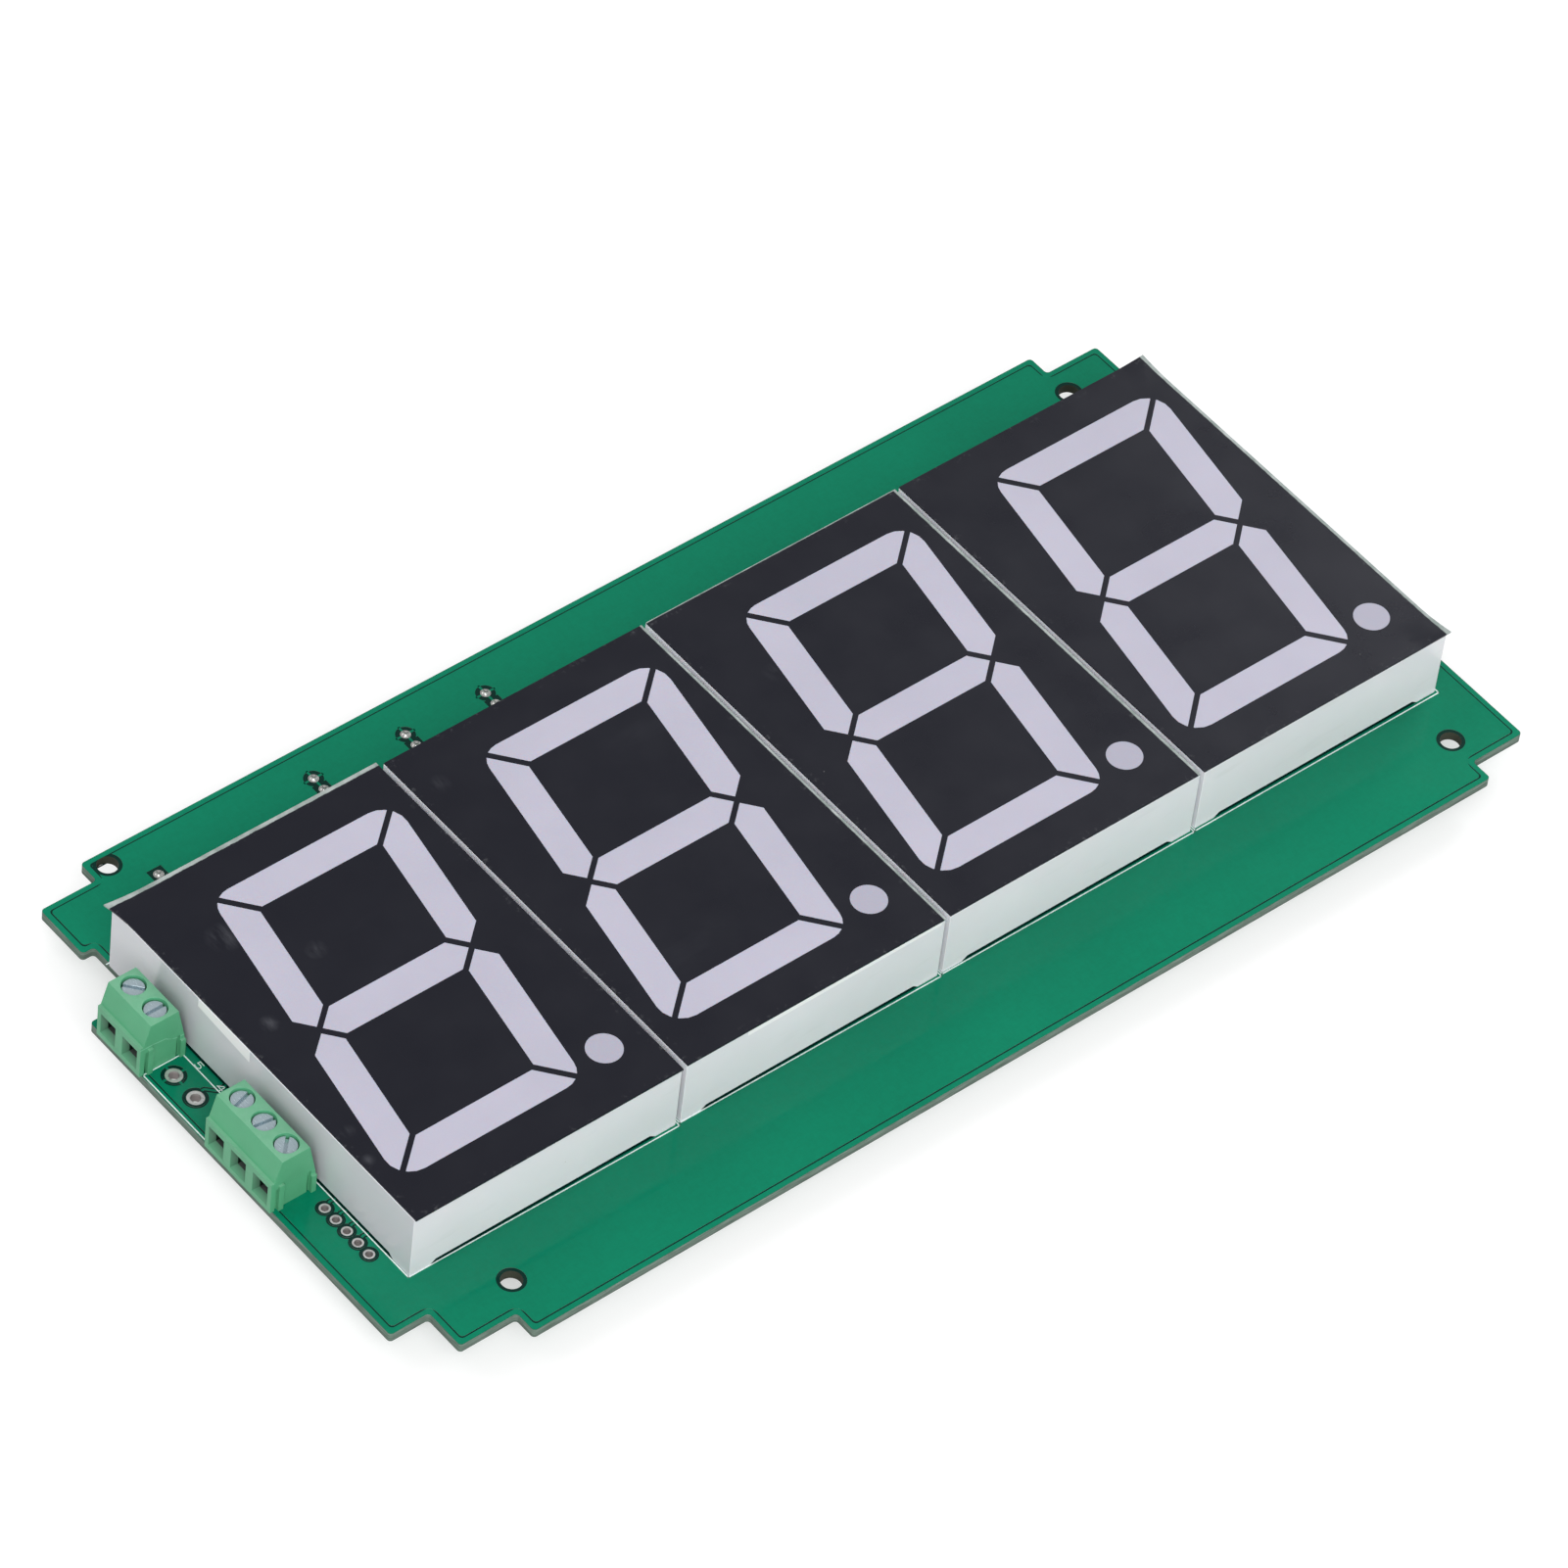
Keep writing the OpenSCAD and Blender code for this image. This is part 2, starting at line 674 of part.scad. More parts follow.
// Wire entry and clamp space of one pole
module pole_space() {
    entry = box_points(entry_w, entry_h);
    throat = box_points(throat_w, throat_w);
    translate([-block_front, 0, entry_mid]) facing_x() loft(entry, throat, 0, funnel_d);
    translate([-block_front, 0, entry_mid]) facing_x() prism(entry, -past, close_fit);
    translate([-block_front, 0, entry_mid]) facing_x() prism(throat, funnel_d / 2, block_front);
    slab(cavity_w, cavity_w, -past, cavity_top);
    rod(well_d, cavity_top - close_fit, block_h + past);
}

module end_rib(x, height) {
    translate([x, -pole_pitch / 2 - rib_out, 0]) cube([rib_w, rib_out + past, height]);
}

// A narrow groove beside each rib
module end_groove(x) {
    translate([x, -pole_pitch / 2 - past, -past]) cube([rib_w / 2, past + rib_out, block_h / 2]);
}

// Sunk panel between the ribs, with a stepped upper edge where the mould parts
module end_panel() {
    left = -block_front + 2.5 * rib_w;
    right = block_back - 1.5 * rib_w;
    mid_h = (block_front_h + block_back_h) / 2;
    translate([0, -pole_pitch / 2 + close_fit + panel_in, 0]) rotate([90, 0, 0]) linear_extrude(past) polygon([
        [left, -past], [right, -past], [right, block_back_h],
        [rib_w, mid_h], [rib_w / 2, mid_h - panel_in], [left, block_front_h - rib_w / 2]]);
}

module terminal_block(first, poles) {
    color([0.36, 0.68, 0.5]) on_board() translate([pole_x, pole_start + first * pole_pitch, 0]) {
        difference() {
            union() {
                block_body(poles, -close_fit);
                end_rib(-block_front + 1.5 * rib_w, block_front_h - rib_w);
                end_rib(block_back - rib_w, block_back_h - rib_out);
            }
            for (i = [0:poles - 1]) translate([0, i * pole_pitch, 0]) pole_space();
            end_groove(-block_front + rib_w);
            end_groove(block_back - 1.5 * rib_w);
            end_panel();
        }
    }
}

// Bent metal cage that takes the wire, with the solder pin under it
module clamp_cage() {
    difference() {
        slab(cage_w, cage_w, cage_foot, cage_top);
        slab(cage_w + 2 * past, cage_w - 2 * cage_wall, cage_foot + cage_wall, cage_top - cage_roof);
        rod(thread_d + 2 * close_fit, cage_top - cage_roof - past, cage_top + past);
    }
    rod(clamp_pin_d, -board_t - clamp_tail, cage_foot);
}

module terminal_clamps(poles) {
    color("silver") on_board() at_sites(pole_sites(poles)) clamp_cage();
}

module clamp_screw(slot_angle) {
    head_top = block_h - head_sink;
    difference() {
        union() {
            rod(head_d, head_top - head_h, head_top);
            rod(thread_d, cage_top - cage_roof - 1.4, head_top - head_h);
        }
        rotate([0, 0, slot_angle]) slab(head_d + 2 * past, slot_w, head_top - slot_depth, head_top + past);
    }
}

module terminal_screws(poles, slots) {
    sites = pole_sites(poles);
    color("lightsteelblue") on_board()
        for (i = [0:len(sites) - 1])
            translate([sites[i][0], sites[i][1], 0]) clamp_screw(slots[i]);
}

// Parts on the underside, drawn face up

digit_mids = [for (d = [0:digits - 1]) [d * digit_pitch + case_w / 2, case_l / 2]];
control_at = digit_mids[1] - [control_left, control_low];
regulator_at = [regulator_in, case_l - regulator_in];
chip_margin = 0.5;
lead_t = 0.2;
lead_w = 0.42;
lead_foot = 0.65;
lead_reach = 1.05;

function chip_length(leads) = (leads - 1) * chip_pitch + lead_w + 2 * chip_margin;

// Chip body with sloping sides and a round mark at its first lead
module chip_body(leads) {
    l = chip_length(leads);
    slope = 0.12;
    half = chip_w / 2;
    middle = chip_gap + chip_h / 2;
    top = chip_gap + chip_h;
    difference() {
        translate([0, l / 2, 0]) rotate([90, 0, 0]) linear_extrude(l) polygon([
            [-half + slope, chip_gap], [half - slope, chip_gap], [half, middle],
            [half - slope, top], [-half + slope, top], [-half, middle]]);
        translate([-half + 0.9, l / 2 - 0.9, 0]) rod(0.6, top - 0.1, top + past);
    }
}

// Gull wing leads along both sides of a chip
module chip_leads(leads) {
    half = chip_w / 2;
    middle = chip_gap + chip_h / 2;
    knee = half + lead_reach - lead_foot;
    for (side = [0, 180], i = [0:leads - 1])
        rotate([0, 0, side]) translate([0, (i - (leads - 1) / 2) * chip_pitch + lead_w / 2, 0])
            rotate([90, 0, 0]) linear_extrude(lead_w) polygon([
                [half, middle - lead_t / 2], [half, middle + lead_t / 2],
                [knee, middle + lead_t / 2], [knee + lead_t, lead_t],
                [half + lead_reach, lead_t], [half + lead_reach, 0],
                [knee + lead_t / 2, 0], [knee - lead_t, middle - lead_t / 2]]);
}

module driver_chips() {
    color([0.1, 0.1, 0.1]) under_board() at_sites(digit_mids) chip_body(driver_leads_a_side);
}

module driver_chip_leads() {
    color("silver") under_board() at_sites(digit_mids) chip_leads(driver_leads_a_side);
}

module control_chip() {
    color([0.1, 0.1, 0.1]) under_board() at_sites([control_at]) chip_body(control_leads_a_side);
}

module control_chip_leads() {
    color("silver") under_board() at_sites([control_at]) chip_leads(control_leads_a_side);
}

// Small regulator with a wide tab on one side and three leads on the other
regulator_w = 3.5;
regulator_l = 6.5;
regulator_h = 1.6;
regulator_pitch = 2.3;
regulator_lead_w = 0.7;
regulator_tab_w = 3;
regulator_lead_t = 0.25;

module regulator() {
    color([0.1, 0.1, 0.1]) under_board() at_sites([regulator_at])
        slab(regulator_w, regulator_l, chip_gap, chip_gap + regulator_h);
}

module regulator_lead(width) {
    reach = regulator_w / 2 + 2.5 * lead_foot;
    translate([0, width / 2, 0]) rotate([90, 0, 0]) linear_extrude(width) polygon([
        [regulator_w / 2, chip_gap], [regulator_w / 2, chip_gap + regulator_lead_t],
        [regulator_w / 2 + 2 * regulator_lead_t, chip_gap + regulator_lead_t],
        [regulator_w / 2 + 3 * regulator_lead_t, regulator_lead_t],
        [reach, regulator_lead_t], [reach, 0],
        [regulator_w / 2 + 2.6 * regulator_lead_t, 0],
        [regulator_w / 2 + 1.6 * regulator_lead_t, chip_gap]]);
}

module regulator_leads() {
    color("silver") under_board() at_sites([regulator_at]) {
        rotate([0, 0, 180]) regulator_lead(regulator_tab_w);
        for (i = [-1:1]) translate([0, i * regulator_pitch, 0]) regulator_lead(regulator_lead_w);
    }
}

// Chip resistors and capacitors: a ceramic body between two metal ends
end_l = 0.35;

module chip_part_body(height) {
    slab(chip_part_w, chip_part_l - 2 * end_l, 0, height);
}

module chip_part_ends(height) {
    for (side = [-1, 1])
        translate([0, side * (chip_part_l - end_l) / 2, 0]) slab(chip_part_w, end_l, 0, height);
}

resistor_pitch = 2.5;
resistors_a_digit = 8;
resistor_sites = [for (m = digit_mids, i = [0:resistors_a_digit - 1])
    [m[0] + (i - (resistors_a_digit - 1) / 2) * resistor_pitch, m[1] + resistors_up]];
capacitor_sites = concat(
    [for (m = digit_mids) m + [capacitor_beside, 0]],
    [control_at + [capacitor_beside, 0], regulator_at + [capacitor_beside + 0.5, 0]]);

module segment_resistors() {
    color([0.08, 0.08, 0.08]) under_board() at_sites(resistor_sites) chip_part_body(resistor_h);
}

module segment_resistor_ends() {
    color("silver") under_board() at_sites(resistor_sites) chip_part_ends(resistor_h);
}

module chip_capacitors() {
    color("tan") under_board() at_sites(capacitor_sites) chip_part_body(capacitor_h);
}

module chip_capacitor_ends() {
    color("silver") under_board() at_sites(capacitor_sites) chip_part_ends(capacitor_h);
}

// Round capacitors that lie on their sides, with both leads bent up through the board
can_foot = can_d * 0.4;
can_groove_at = can_l * 0.13;
can_groove_w = can_l * 0.06;

module lying_can() {
    translate([can_foot, -can_lead_pitch / 2, can_d / 2 + close_fit]) rotate([0, 90, 0]) difference() {
        rod(can_d, 0, can_l);
        difference() {
            rod(can_d + past, can_groove_at, can_groove_at + can_groove_w);
            rod(can_d * 0.9, can_groove_at - past, can_groove_at + can_groove_w + past);
        }
    }
}

module bent_lead() {
    lead_z = can_d / 2 + close_fit;
    rod(can_lead_d, -board_t - ring_t - lead_solder_h - can_lead_d / 5, lead_z);
    translate([0, 0, lead_z]) sphere(d = can_lead_d);
    translate([0, 0, lead_z]) rotate([0, 90, 0]) rod(can_lead_d, 0, can_foot);
}

module capacitor_cans() {
    color([0.12, 0.14, 0.2]) under_board() at_sites(can_sites) lying_can();
}

module capacitor_leads() {
    color("silver") under_board() at_sites(can_lead_sites) bent_lead();
}

main_board();
plated_holes();
pin_solder();
lead_solder();
at_digit(1) reflector_case();  // digit_1_case
at_digit(2) reflector_case();  // digit_2_case
at_digit(3) reflector_case();  // digit_3_case
at_digit(4) reflector_case();  // digit_4_case
at_digit(1) face_film();  // digit_1_face_film
at_digit(2) face_film();  // digit_2_face_film
at_digit(3) face_film();  // digit_3_face_film
at_digit(4) face_film();  // digit_4_face_film
at_digit(1) segment_resin();  // digit_1_segments
at_digit(2) segment_resin();  // digit_2_segments
at_digit(3) segment_resin();  // digit_3_segments
at_digit(4) segment_resin();  // digit_4_segments
at_digit(1) lamp_board();  // digit_1_lamp_board
at_digit(2) lamp_board();  // digit_2_lamp_board
at_digit(3) lamp_board();  // digit_3_lamp_board
at_digit(4) lamp_board();  // digit_4_lamp_board
at_digit(1) lamp_dice();  // digit_1_lamp_dice
at_digit(2) lamp_dice();  // digit_2_lamp_dice
at_digit(3) lamp_dice();  // digit_3_lamp_dice
at_digit(4) lamp_dice();  // digit_4_lamp_dice
at_digit(1) digit_pins();  // digit_1_pins
at_digit(2) digit_pins();  // digit_2_pins
at_digit(3) digit_pins();  // digit_3_pins
at_digit(4) digit_pins();  // digit_4_pins
terminal_block(signal_poles[0], len(signal_poles));  // signal_terminal_block
terminal_clamps(signal_poles);  // signal_terminal_clamps
terminal_screws(signal_poles, signal_slots);  // signal_terminal_screws
terminal_block(power_poles[0], len(power_poles));  // power_terminal_block
terminal_clamps(power_poles);  // power_terminal_clamps
terminal_screws(power_poles, power_slots);  // power_terminal_screws
driver_chips();
driver_chip_leads();
control_chip();
control_chip_leads();
regulator();
regulator_leads();
segment_resistors();
segment_resistor_ends();
chip_capacitors();
chip_capacitor_ends();
capacitor_cans();
capacitor_leads();
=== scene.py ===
"""Looks of a four digit seven segment display module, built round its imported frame.

Values are in metres unless they say millimetres, in the frame's axes: X along the row, Y up the digits, Z out.
"""

import math
import random

import bmesh
import bpy
from mathutils import Matrix, Vector


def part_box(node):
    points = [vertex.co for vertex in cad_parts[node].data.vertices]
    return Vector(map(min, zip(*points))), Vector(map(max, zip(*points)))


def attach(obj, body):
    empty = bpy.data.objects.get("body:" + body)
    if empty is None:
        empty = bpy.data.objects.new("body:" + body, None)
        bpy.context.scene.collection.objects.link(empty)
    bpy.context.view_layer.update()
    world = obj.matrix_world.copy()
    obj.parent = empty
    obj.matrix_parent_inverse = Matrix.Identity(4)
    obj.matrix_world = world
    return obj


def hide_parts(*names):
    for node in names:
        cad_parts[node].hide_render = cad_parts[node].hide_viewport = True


bl_info = {
    "name": "Seven Segment Display Module",
    "version": (1, 0, 0),
    "blender": (4, 5, 0),
    "location": "View3D > Sidebar > Display",
    "description": "Finishes and fine detail for a four digit display module",
    "category": "Object",
}

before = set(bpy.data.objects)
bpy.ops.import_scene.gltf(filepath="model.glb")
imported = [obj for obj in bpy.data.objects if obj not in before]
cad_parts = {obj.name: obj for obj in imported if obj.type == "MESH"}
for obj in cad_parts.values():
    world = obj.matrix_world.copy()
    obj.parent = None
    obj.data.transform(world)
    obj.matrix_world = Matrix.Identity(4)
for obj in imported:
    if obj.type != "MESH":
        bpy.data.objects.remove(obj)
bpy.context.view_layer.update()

MM = 0.001
DIGITS = (1, 2, 3, 4)

# Places that follow the frame
BOARD_LOW, BOARD_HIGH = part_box("main_board")
BOARD_TOP = BOARD_HIGH.z
ROW_LEFT, ROW_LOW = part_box("digit_1_case")[0].xy

# Places on the board in millimetres, from the lower left corner of the first case
STRIP_INSET = 10.0
STRIP_OUT = 3.9
LEDGE_OUT = 6.8
LEDGE_LOW = 6.7
LEDGE_HIGH = 63.0
RECESS_IN = 2.1
RECESS_L = 11.0
EDGE_LEFT = -1.75
EDGE_RIGHT = 199.55
EDGE_LOW = -13.8
EDGE_HIGH = 84.1
CORNER_R = 0.6
STRIP_LEFT, STRIP_RIGHT = EDGE_LEFT + STRIP_INSET, EDGE_RIGHT - STRIP_INSET
STRIP_LOW, STRIP_HIGH = EDGE_LOW - STRIP_OUT, EDGE_HIGH + STRIP_OUT
LEDGE_LEFT = EDGE_LEFT - LEDGE_OUT
RECESS_LEFT, RECESS_HIGH = EDGE_LEFT + RECESS_IN, LEDGE_HIGH + RECESS_L
BOARD_CORNERS = (
    (STRIP_LEFT, STRIP_LOW), (STRIP_RIGHT, STRIP_LOW), (STRIP_RIGHT, EDGE_LOW), (EDGE_RIGHT, EDGE_LOW),
    (EDGE_RIGHT, EDGE_HIGH), (STRIP_RIGHT, EDGE_HIGH), (STRIP_RIGHT, STRIP_HIGH), (STRIP_LEFT, STRIP_HIGH),
    (STRIP_LEFT, EDGE_HIGH), (EDGE_LEFT, EDGE_HIGH), (EDGE_LEFT, RECESS_HIGH), (RECESS_LEFT, RECESS_HIGH),
    (RECESS_LEFT, LEDGE_HIGH), (LEDGE_LEFT, LEDGE_HIGH), (LEDGE_LEFT, -LEDGE_LOW), (EDGE_LEFT, -LEDGE_LOW),
    (EDGE_LEFT, EDGE_LOW), (STRIP_LEFT, EDGE_LOW))
MOUNT_SITES = ((11.35, -8.7), (11.35, 85.6), (189.7, -8.7), (189.7, 79.0))
PIN_PITCH = 2.54
HEADER_SITES = tuple((-2.1, 11.5 + i * PIN_PITCH) for i in range(-2, 3))
POLE_X = -4.75
POLE_PITCH = 5.08
POLE_START = 22.8
BLOCK_FRONT = 4.25
CLAMP_SITES = tuple((POLE_X, POLE_START + i * POLE_PITCH) for i in (0, 1, 2, 6, 7))
SPARE_SITES = tuple((POLE_X, POLE_START + i * POLE_PITCH) for i in (4, 5))
CAN_SITES = ((16.3, 79.9), (46.0, 81.9), (62.4, 81.1), (77.2, 80.9))
LEAD_SITES = tuple((x, y - step) for x, y in CAN_SITES for step in (0, PIN_PITCH))
CASE_PITCH = 48.8
CASE_W = 47.9
CASE_L = 70.0
POINT_SITE = (41.1, 9.2)
PIN_INSET = 4.52


def in_row(along, up):
    """A point on the board's top, given in millimetres from the first case's lower left corner."""
    return Vector((ROW_LEFT + along * MM, ROW_LOW + up * MM, BOARD_TOP))


def spots(points):
    """Points given in millimetres, without their height."""
    return [in_row(*p).xy for p in points]


def case_left(n):
    """Where a digit's case starts, in millimetres."""
    return (n - 1) * CASE_PITCH


def digit_pin_sites():
    return [(case_left(n) + CASE_W / 2 + i * PIN_PITCH, y)
            for n in DIGITS for y in (PIN_INSET, CASE_L - PIN_INSET) for i in range(-2, 3)]


# Node trees

class Value:
    """One output in a finish's node tree; sums and comparisons with it make math nodes."""

    def __init__(self, finish, socket):
        self.finish = finish
        self.socket = socket

    def __add__(self, other):
        return self.finish.math("ADD", self, other)

    def __sub__(self, other):
        return self.finish.math("SUBTRACT", self, other)

    def __rsub__(self, other):
        return self.finish.math("SUBTRACT", other, self)

    def __mul__(self, other):
        return self.finish.math("MULTIPLY", self, other)

    def __lt__(self, other):
        return self.finish.math("LESS_THAN", self, other)

    def __gt__(self, other):
        return self.finish.math("GREATER_THAN", self, other)

    def __abs__(self):
        return self.finish.math("ABSOLUTE", self)


class Finish:
    """One material's node tree, with short calls for the nodes that the finishes share."""

    def __init__(self, name):
        self.material = bpy.data.materials.new(name)
        self.material.use_nodes = True
        self.tree = self.material.node_tree
        self.shader = self.tree.nodes["Principled BSDF"]
        self.place = self.node("ShaderNodeTexCoord", "Object")

    def join(self, value, socket):
        """Links a value to a socket, or sets a number or colour on it."""
        if isinstance(value, Value):
            self.tree.links.new(value.socket, socket)
        elif socket.type == "RGBA" and len(value) == 3:
            socket.default_value = (*value, 1.0)
        else:
            socket.default_value = value

    def node(self, kind, output, inputs=None, **settings):
        """One output of a new node with these inputs and settings."""
        node = self.tree.nodes.new(kind)
        for key, value in settings.items():
            setattr(node, key, value)
        for name, value in (inputs or {}).items():
            self.join(value, node.inputs[name])
        return Value(self, node.outputs[output])

    def set(self, **values):
        """Joins values to the shader and returns the material."""
        names = {"colour": "Base Color", "roughness": "Roughness", "metallic": "Metallic", "ior": "IOR",
                 "specular": "Specular IOR Level", "tint": "Specular Tint", "normal": "Normal",
                 "subsurface": "Subsurface Weight", "subsurface_scale": "Subsurface Scale",
                 "emission": "Emission Color", "emission_strength": "Emission Strength"}
        for key, value in values.items():
            self.join(value, self.shader.inputs[names[key]])
        return self.material

    def math(self, operation, a, b=0.0):
        return self.node("ShaderNodeMath", 0, {0: a, 1: b}, operation=operation)

    def stretched(self, *factors):
        """The place on the surface with its axes stretched."""
        return self.node("ShaderNodeVectorMath", 0, {0: self.place, 1: factors}, operation="MULTIPLY")

    def noise(self, scale, detail=2.0, roughness=0.5, vector=None):
        return self.node("ShaderNodeTexNoise", "Fac", {
            "Vector": vector or self.place, "Scale": scale, "Detail": detail, "Roughness": roughness})

    def span(self, value, low=0.3, high=0.7, to_low=0.0, to_high=1.0):
        """Maps one range, by default the usual range of noise, to another."""
        return self.node("ShaderNodeMapRange", "Result", {
            "From Min": low, "From Max": high, "To Min": to_low, "To Max": to_high, "Value": value})

    def cloud(self, scale, detail, to_low=0.0, to_high=1.0):
        """Noise in a range."""
        return self.span(self.noise(scale, detail), to_low=to_low, to_high=to_high)

    def cells(self, scale, vector=None):
        """How far the nearest of many scattered points is, and a random colour for each point."""
        distance = self.node("ShaderNodeTexVoronoi", "Distance", {
            "Vector": vector or self.place, "Scale": scale})
        return distance, Value(self, distance.socket.node.outputs["Color"])

    def specks(self, scale, size):
        """1 inside scattered dusty specks and 0 elsewhere."""
        distance, colour = self.cells(scale)
        chance = self.node("ShaderNodeSeparateColor", 0, {0: colour})
        return (distance < size) * (chance > 0.72)

    def blend(self, share, a, b):
        return self.node("ShaderNodeMix", "Result", {"Factor": share, "A": a, "B": b}, data_type="RGBA")

    def scaled(self, colour, factor):
        """The colour times a number."""
        return self.node("ShaderNodeVectorMath", 0, {0: colour, "Scale": factor}, operation="SCALE")

    def bump(self, height, strength, distance=0.1 * MM):
        return self.node("ShaderNodeBump", "Normal", {
            "Strength": strength, "Distance": distance, "Height": height})

    def part(self, axis):
        """One axis of the place on the surface."""
        return self.node("ShaderNodeSeparateXYZ", axis, {0: self.place})

    def facing(self, axis):
        """One axis of the surface's own direction."""
        return self.node("ShaderNodeSeparateXYZ", axis, {0: self.node("ShaderNodeNewGeometry", "True Normal")})

    def away(self, place):
        """How far the surface is from a place, measured along the board."""
        across, up = self.part("X") - place.x, self.part("Y") - place.y
        return self.math("SQRT", across * across + up * up)


def shaded(colour, factor):
    return tuple(min(1.0, c * factor) for c in colour)


def mask_over_fibre(colour, name, below=None):
    """Solder mask on flat faces, in its own colour below if one is given, and fibre on the cut edges."""
    f = Finish(name)
    if below:
        colour = f.blend(f.facing("Z") < -0.6, colour, below)
    weave = f.noise(1, 1, 0.4, f.stretched(900, 2600, 900)) + f.noise(1, 1, 0.4, f.stretched(2600, 900, 900))
    tone = f.scaled(colour, f.cloud(35, 3, 0.94, 1.05) * f.span(weave, 0.7, 1.3, 0.96, 1.04))
    tone = f.blend(f.specks(150, 0.013) * 0.6, tone, (0.42, 0.5, 0.45))
    layers = f.span(f.noise(1, 4, 0.6, f.stretched(300, 300, 4200)))
    depth = f.span(f.part("Z"), BOARD_LOW.z, BOARD_TOP, 0.62, 1.0)
    fibre = f.scaled(f.blend(layers, (0.08, 0.13, 0.1), (0.24, 0.32, 0.27)), depth)
    # Painted shade on the fibre walls of the mounting holes
    for site in MOUNT_SITES:
        fibre = f.blend(f.away(in_row(*site)) < 1.9 * MM, fibre, (0.045, 0.05, 0.034))
    flat = abs(f.facing("Z")) > 0.6
    ripple = f.noise(300, 2) + f.noise(5000, 1) * 0.1
    return f.set(colour=f.blend(flat, fibre, tone), roughness=f.cloud(60, 3, 0.1, 0.17) + (1.0 - flat) * 0.5,
                 ior=1.28, normal=f.bump(ripple, 0.05, 0.2 * MM))


def printed_white(name):
    """Screen printed white ink."""
    f = Finish(name)
    worn = f.span(f.noise(2200, 3), 0.25, 0.6)
    return f.set(colour=f.blend(worn, (0.58, 0.74, 0.7), (0.84, 0.93, 0.91)), roughness=0.55,
                 normal=f.bump(f.noise(4200, 2), 0.25))


# Painted highlights below the cases' upper edges: the wall's side, the axis along it, where they start and end,
# and how far up they start at those ends, in millimetres
PAINTED_HIGHLIGHT_PATCHES = (("X", "Y", 37.6, 49.6, 15.9, 16.6), ("Y", "X", 60.0, 96.0, 17.3, 17.5))


def case_white(name):
    """White moulded case with a glossy skin, light handling marks, painted highlights and a painted shade."""
    f = Finish(name)
    tone = f.blend(f.span(f.noise(28, 4, 0.6), 0.35, 0.7), (0.76, 0.765, 0.8), (0.82, 0.825, 0.86))
    streaks = f.span(f.noise(1, 3, 0.5, f.stretched(90, 90, 420)), 0.6, 0.75)
    tone = f.blend(streaks * 0.2, tone, (0.6, 0.62, 0.62))
    tone = f.blend(f.specks(210, 0.024) * 0.45, tone, (0.3, 0.29, 0.27))
    for side, along, start, end, low_start, low_end in PAINTED_HIGHLIGHT_PATCHES:
        first, last = (getattr(in_row(at, at), along.lower()) for at in (start, end))
        place = f.part(along)
        on_wall = (place > first) * (place < last)
        above = f.span(f.part("Z") - f.span(place, first, last, low_start * MM, low_end * MM), 0.0, 0.25 * MM)
        outward = f.facing(side) < -0.5
        if side == "X":
            # Painted shade: the first case's outer left wall is darkened
            outward = outward * (f.part("X") < ROW_LEFT + MM)
            tone = f.blend(outward * 0.6, tone, (0.55, 0.56, 0.6))
        # Painted highlight: a pale patch on the wall from the given line up to the upper edge
        tone = f.blend(on_wall * above * (outward * 0.92), tone, (0.97, 0.97, 0.98))
    return f.set(colour=tone, roughness=f.cloud(240, 3, 0.14, 0.24), ior=1.5,
                 subsurface=0.05, subsurface_scale=1.0 * MM, normal=f.bump(f.noise(6500, 2), 0.03))


def segment_resin(name):
    """Milky resin with a fine diffusing grain, a little darker in the points."""
    f = Finish(name)
    tone = f.blend(f.cloud(55, 3), (0.458, 0.446, 0.54), (0.497, 0.482, 0.581))
    grain = f.noise(5200, 2)
    tone = f.blend(f.span(grain, 0.35, 0.65) * 0.16, tone, (0.56, 0.53, 0.637))
    for n in DIGITS:
        point = in_row(case_left(n) + POINT_SITE[0], POINT_SITE[1])
        tone = f.blend(f.away(point) < 3.2 * MM, tone, (0.415, 0.405, 0.492))
    return f.set(colour=tone, roughness=f.cloud(900, 2, 0.3, 0.42), ior=1.35,
                 subsurface=0.12, subsurface_scale=1.5 * MM, normal=f.bump(grain, 0.08))


# Smudges on each digit's film: place, how far they spread, in millimetres, and how strong they are
SMUDGES = {
    1: (((9.6, 56.5), 3.0, 0.15), ((19.0, 47.2), 1.9, 0.15), ((5.2, 40.0), 1.7, 0.2), ((2.2, 18.0), 1.3, 0.12),
        ((1.4, 12.2), 1.2, 0.12), ((40.3, 57.1), 2.0, 0.08)),
    2: (((53.0, 62.0), 2.0, 0.08),),
    3: (((107.0, 51.5), 2.0, 0.06),),
}


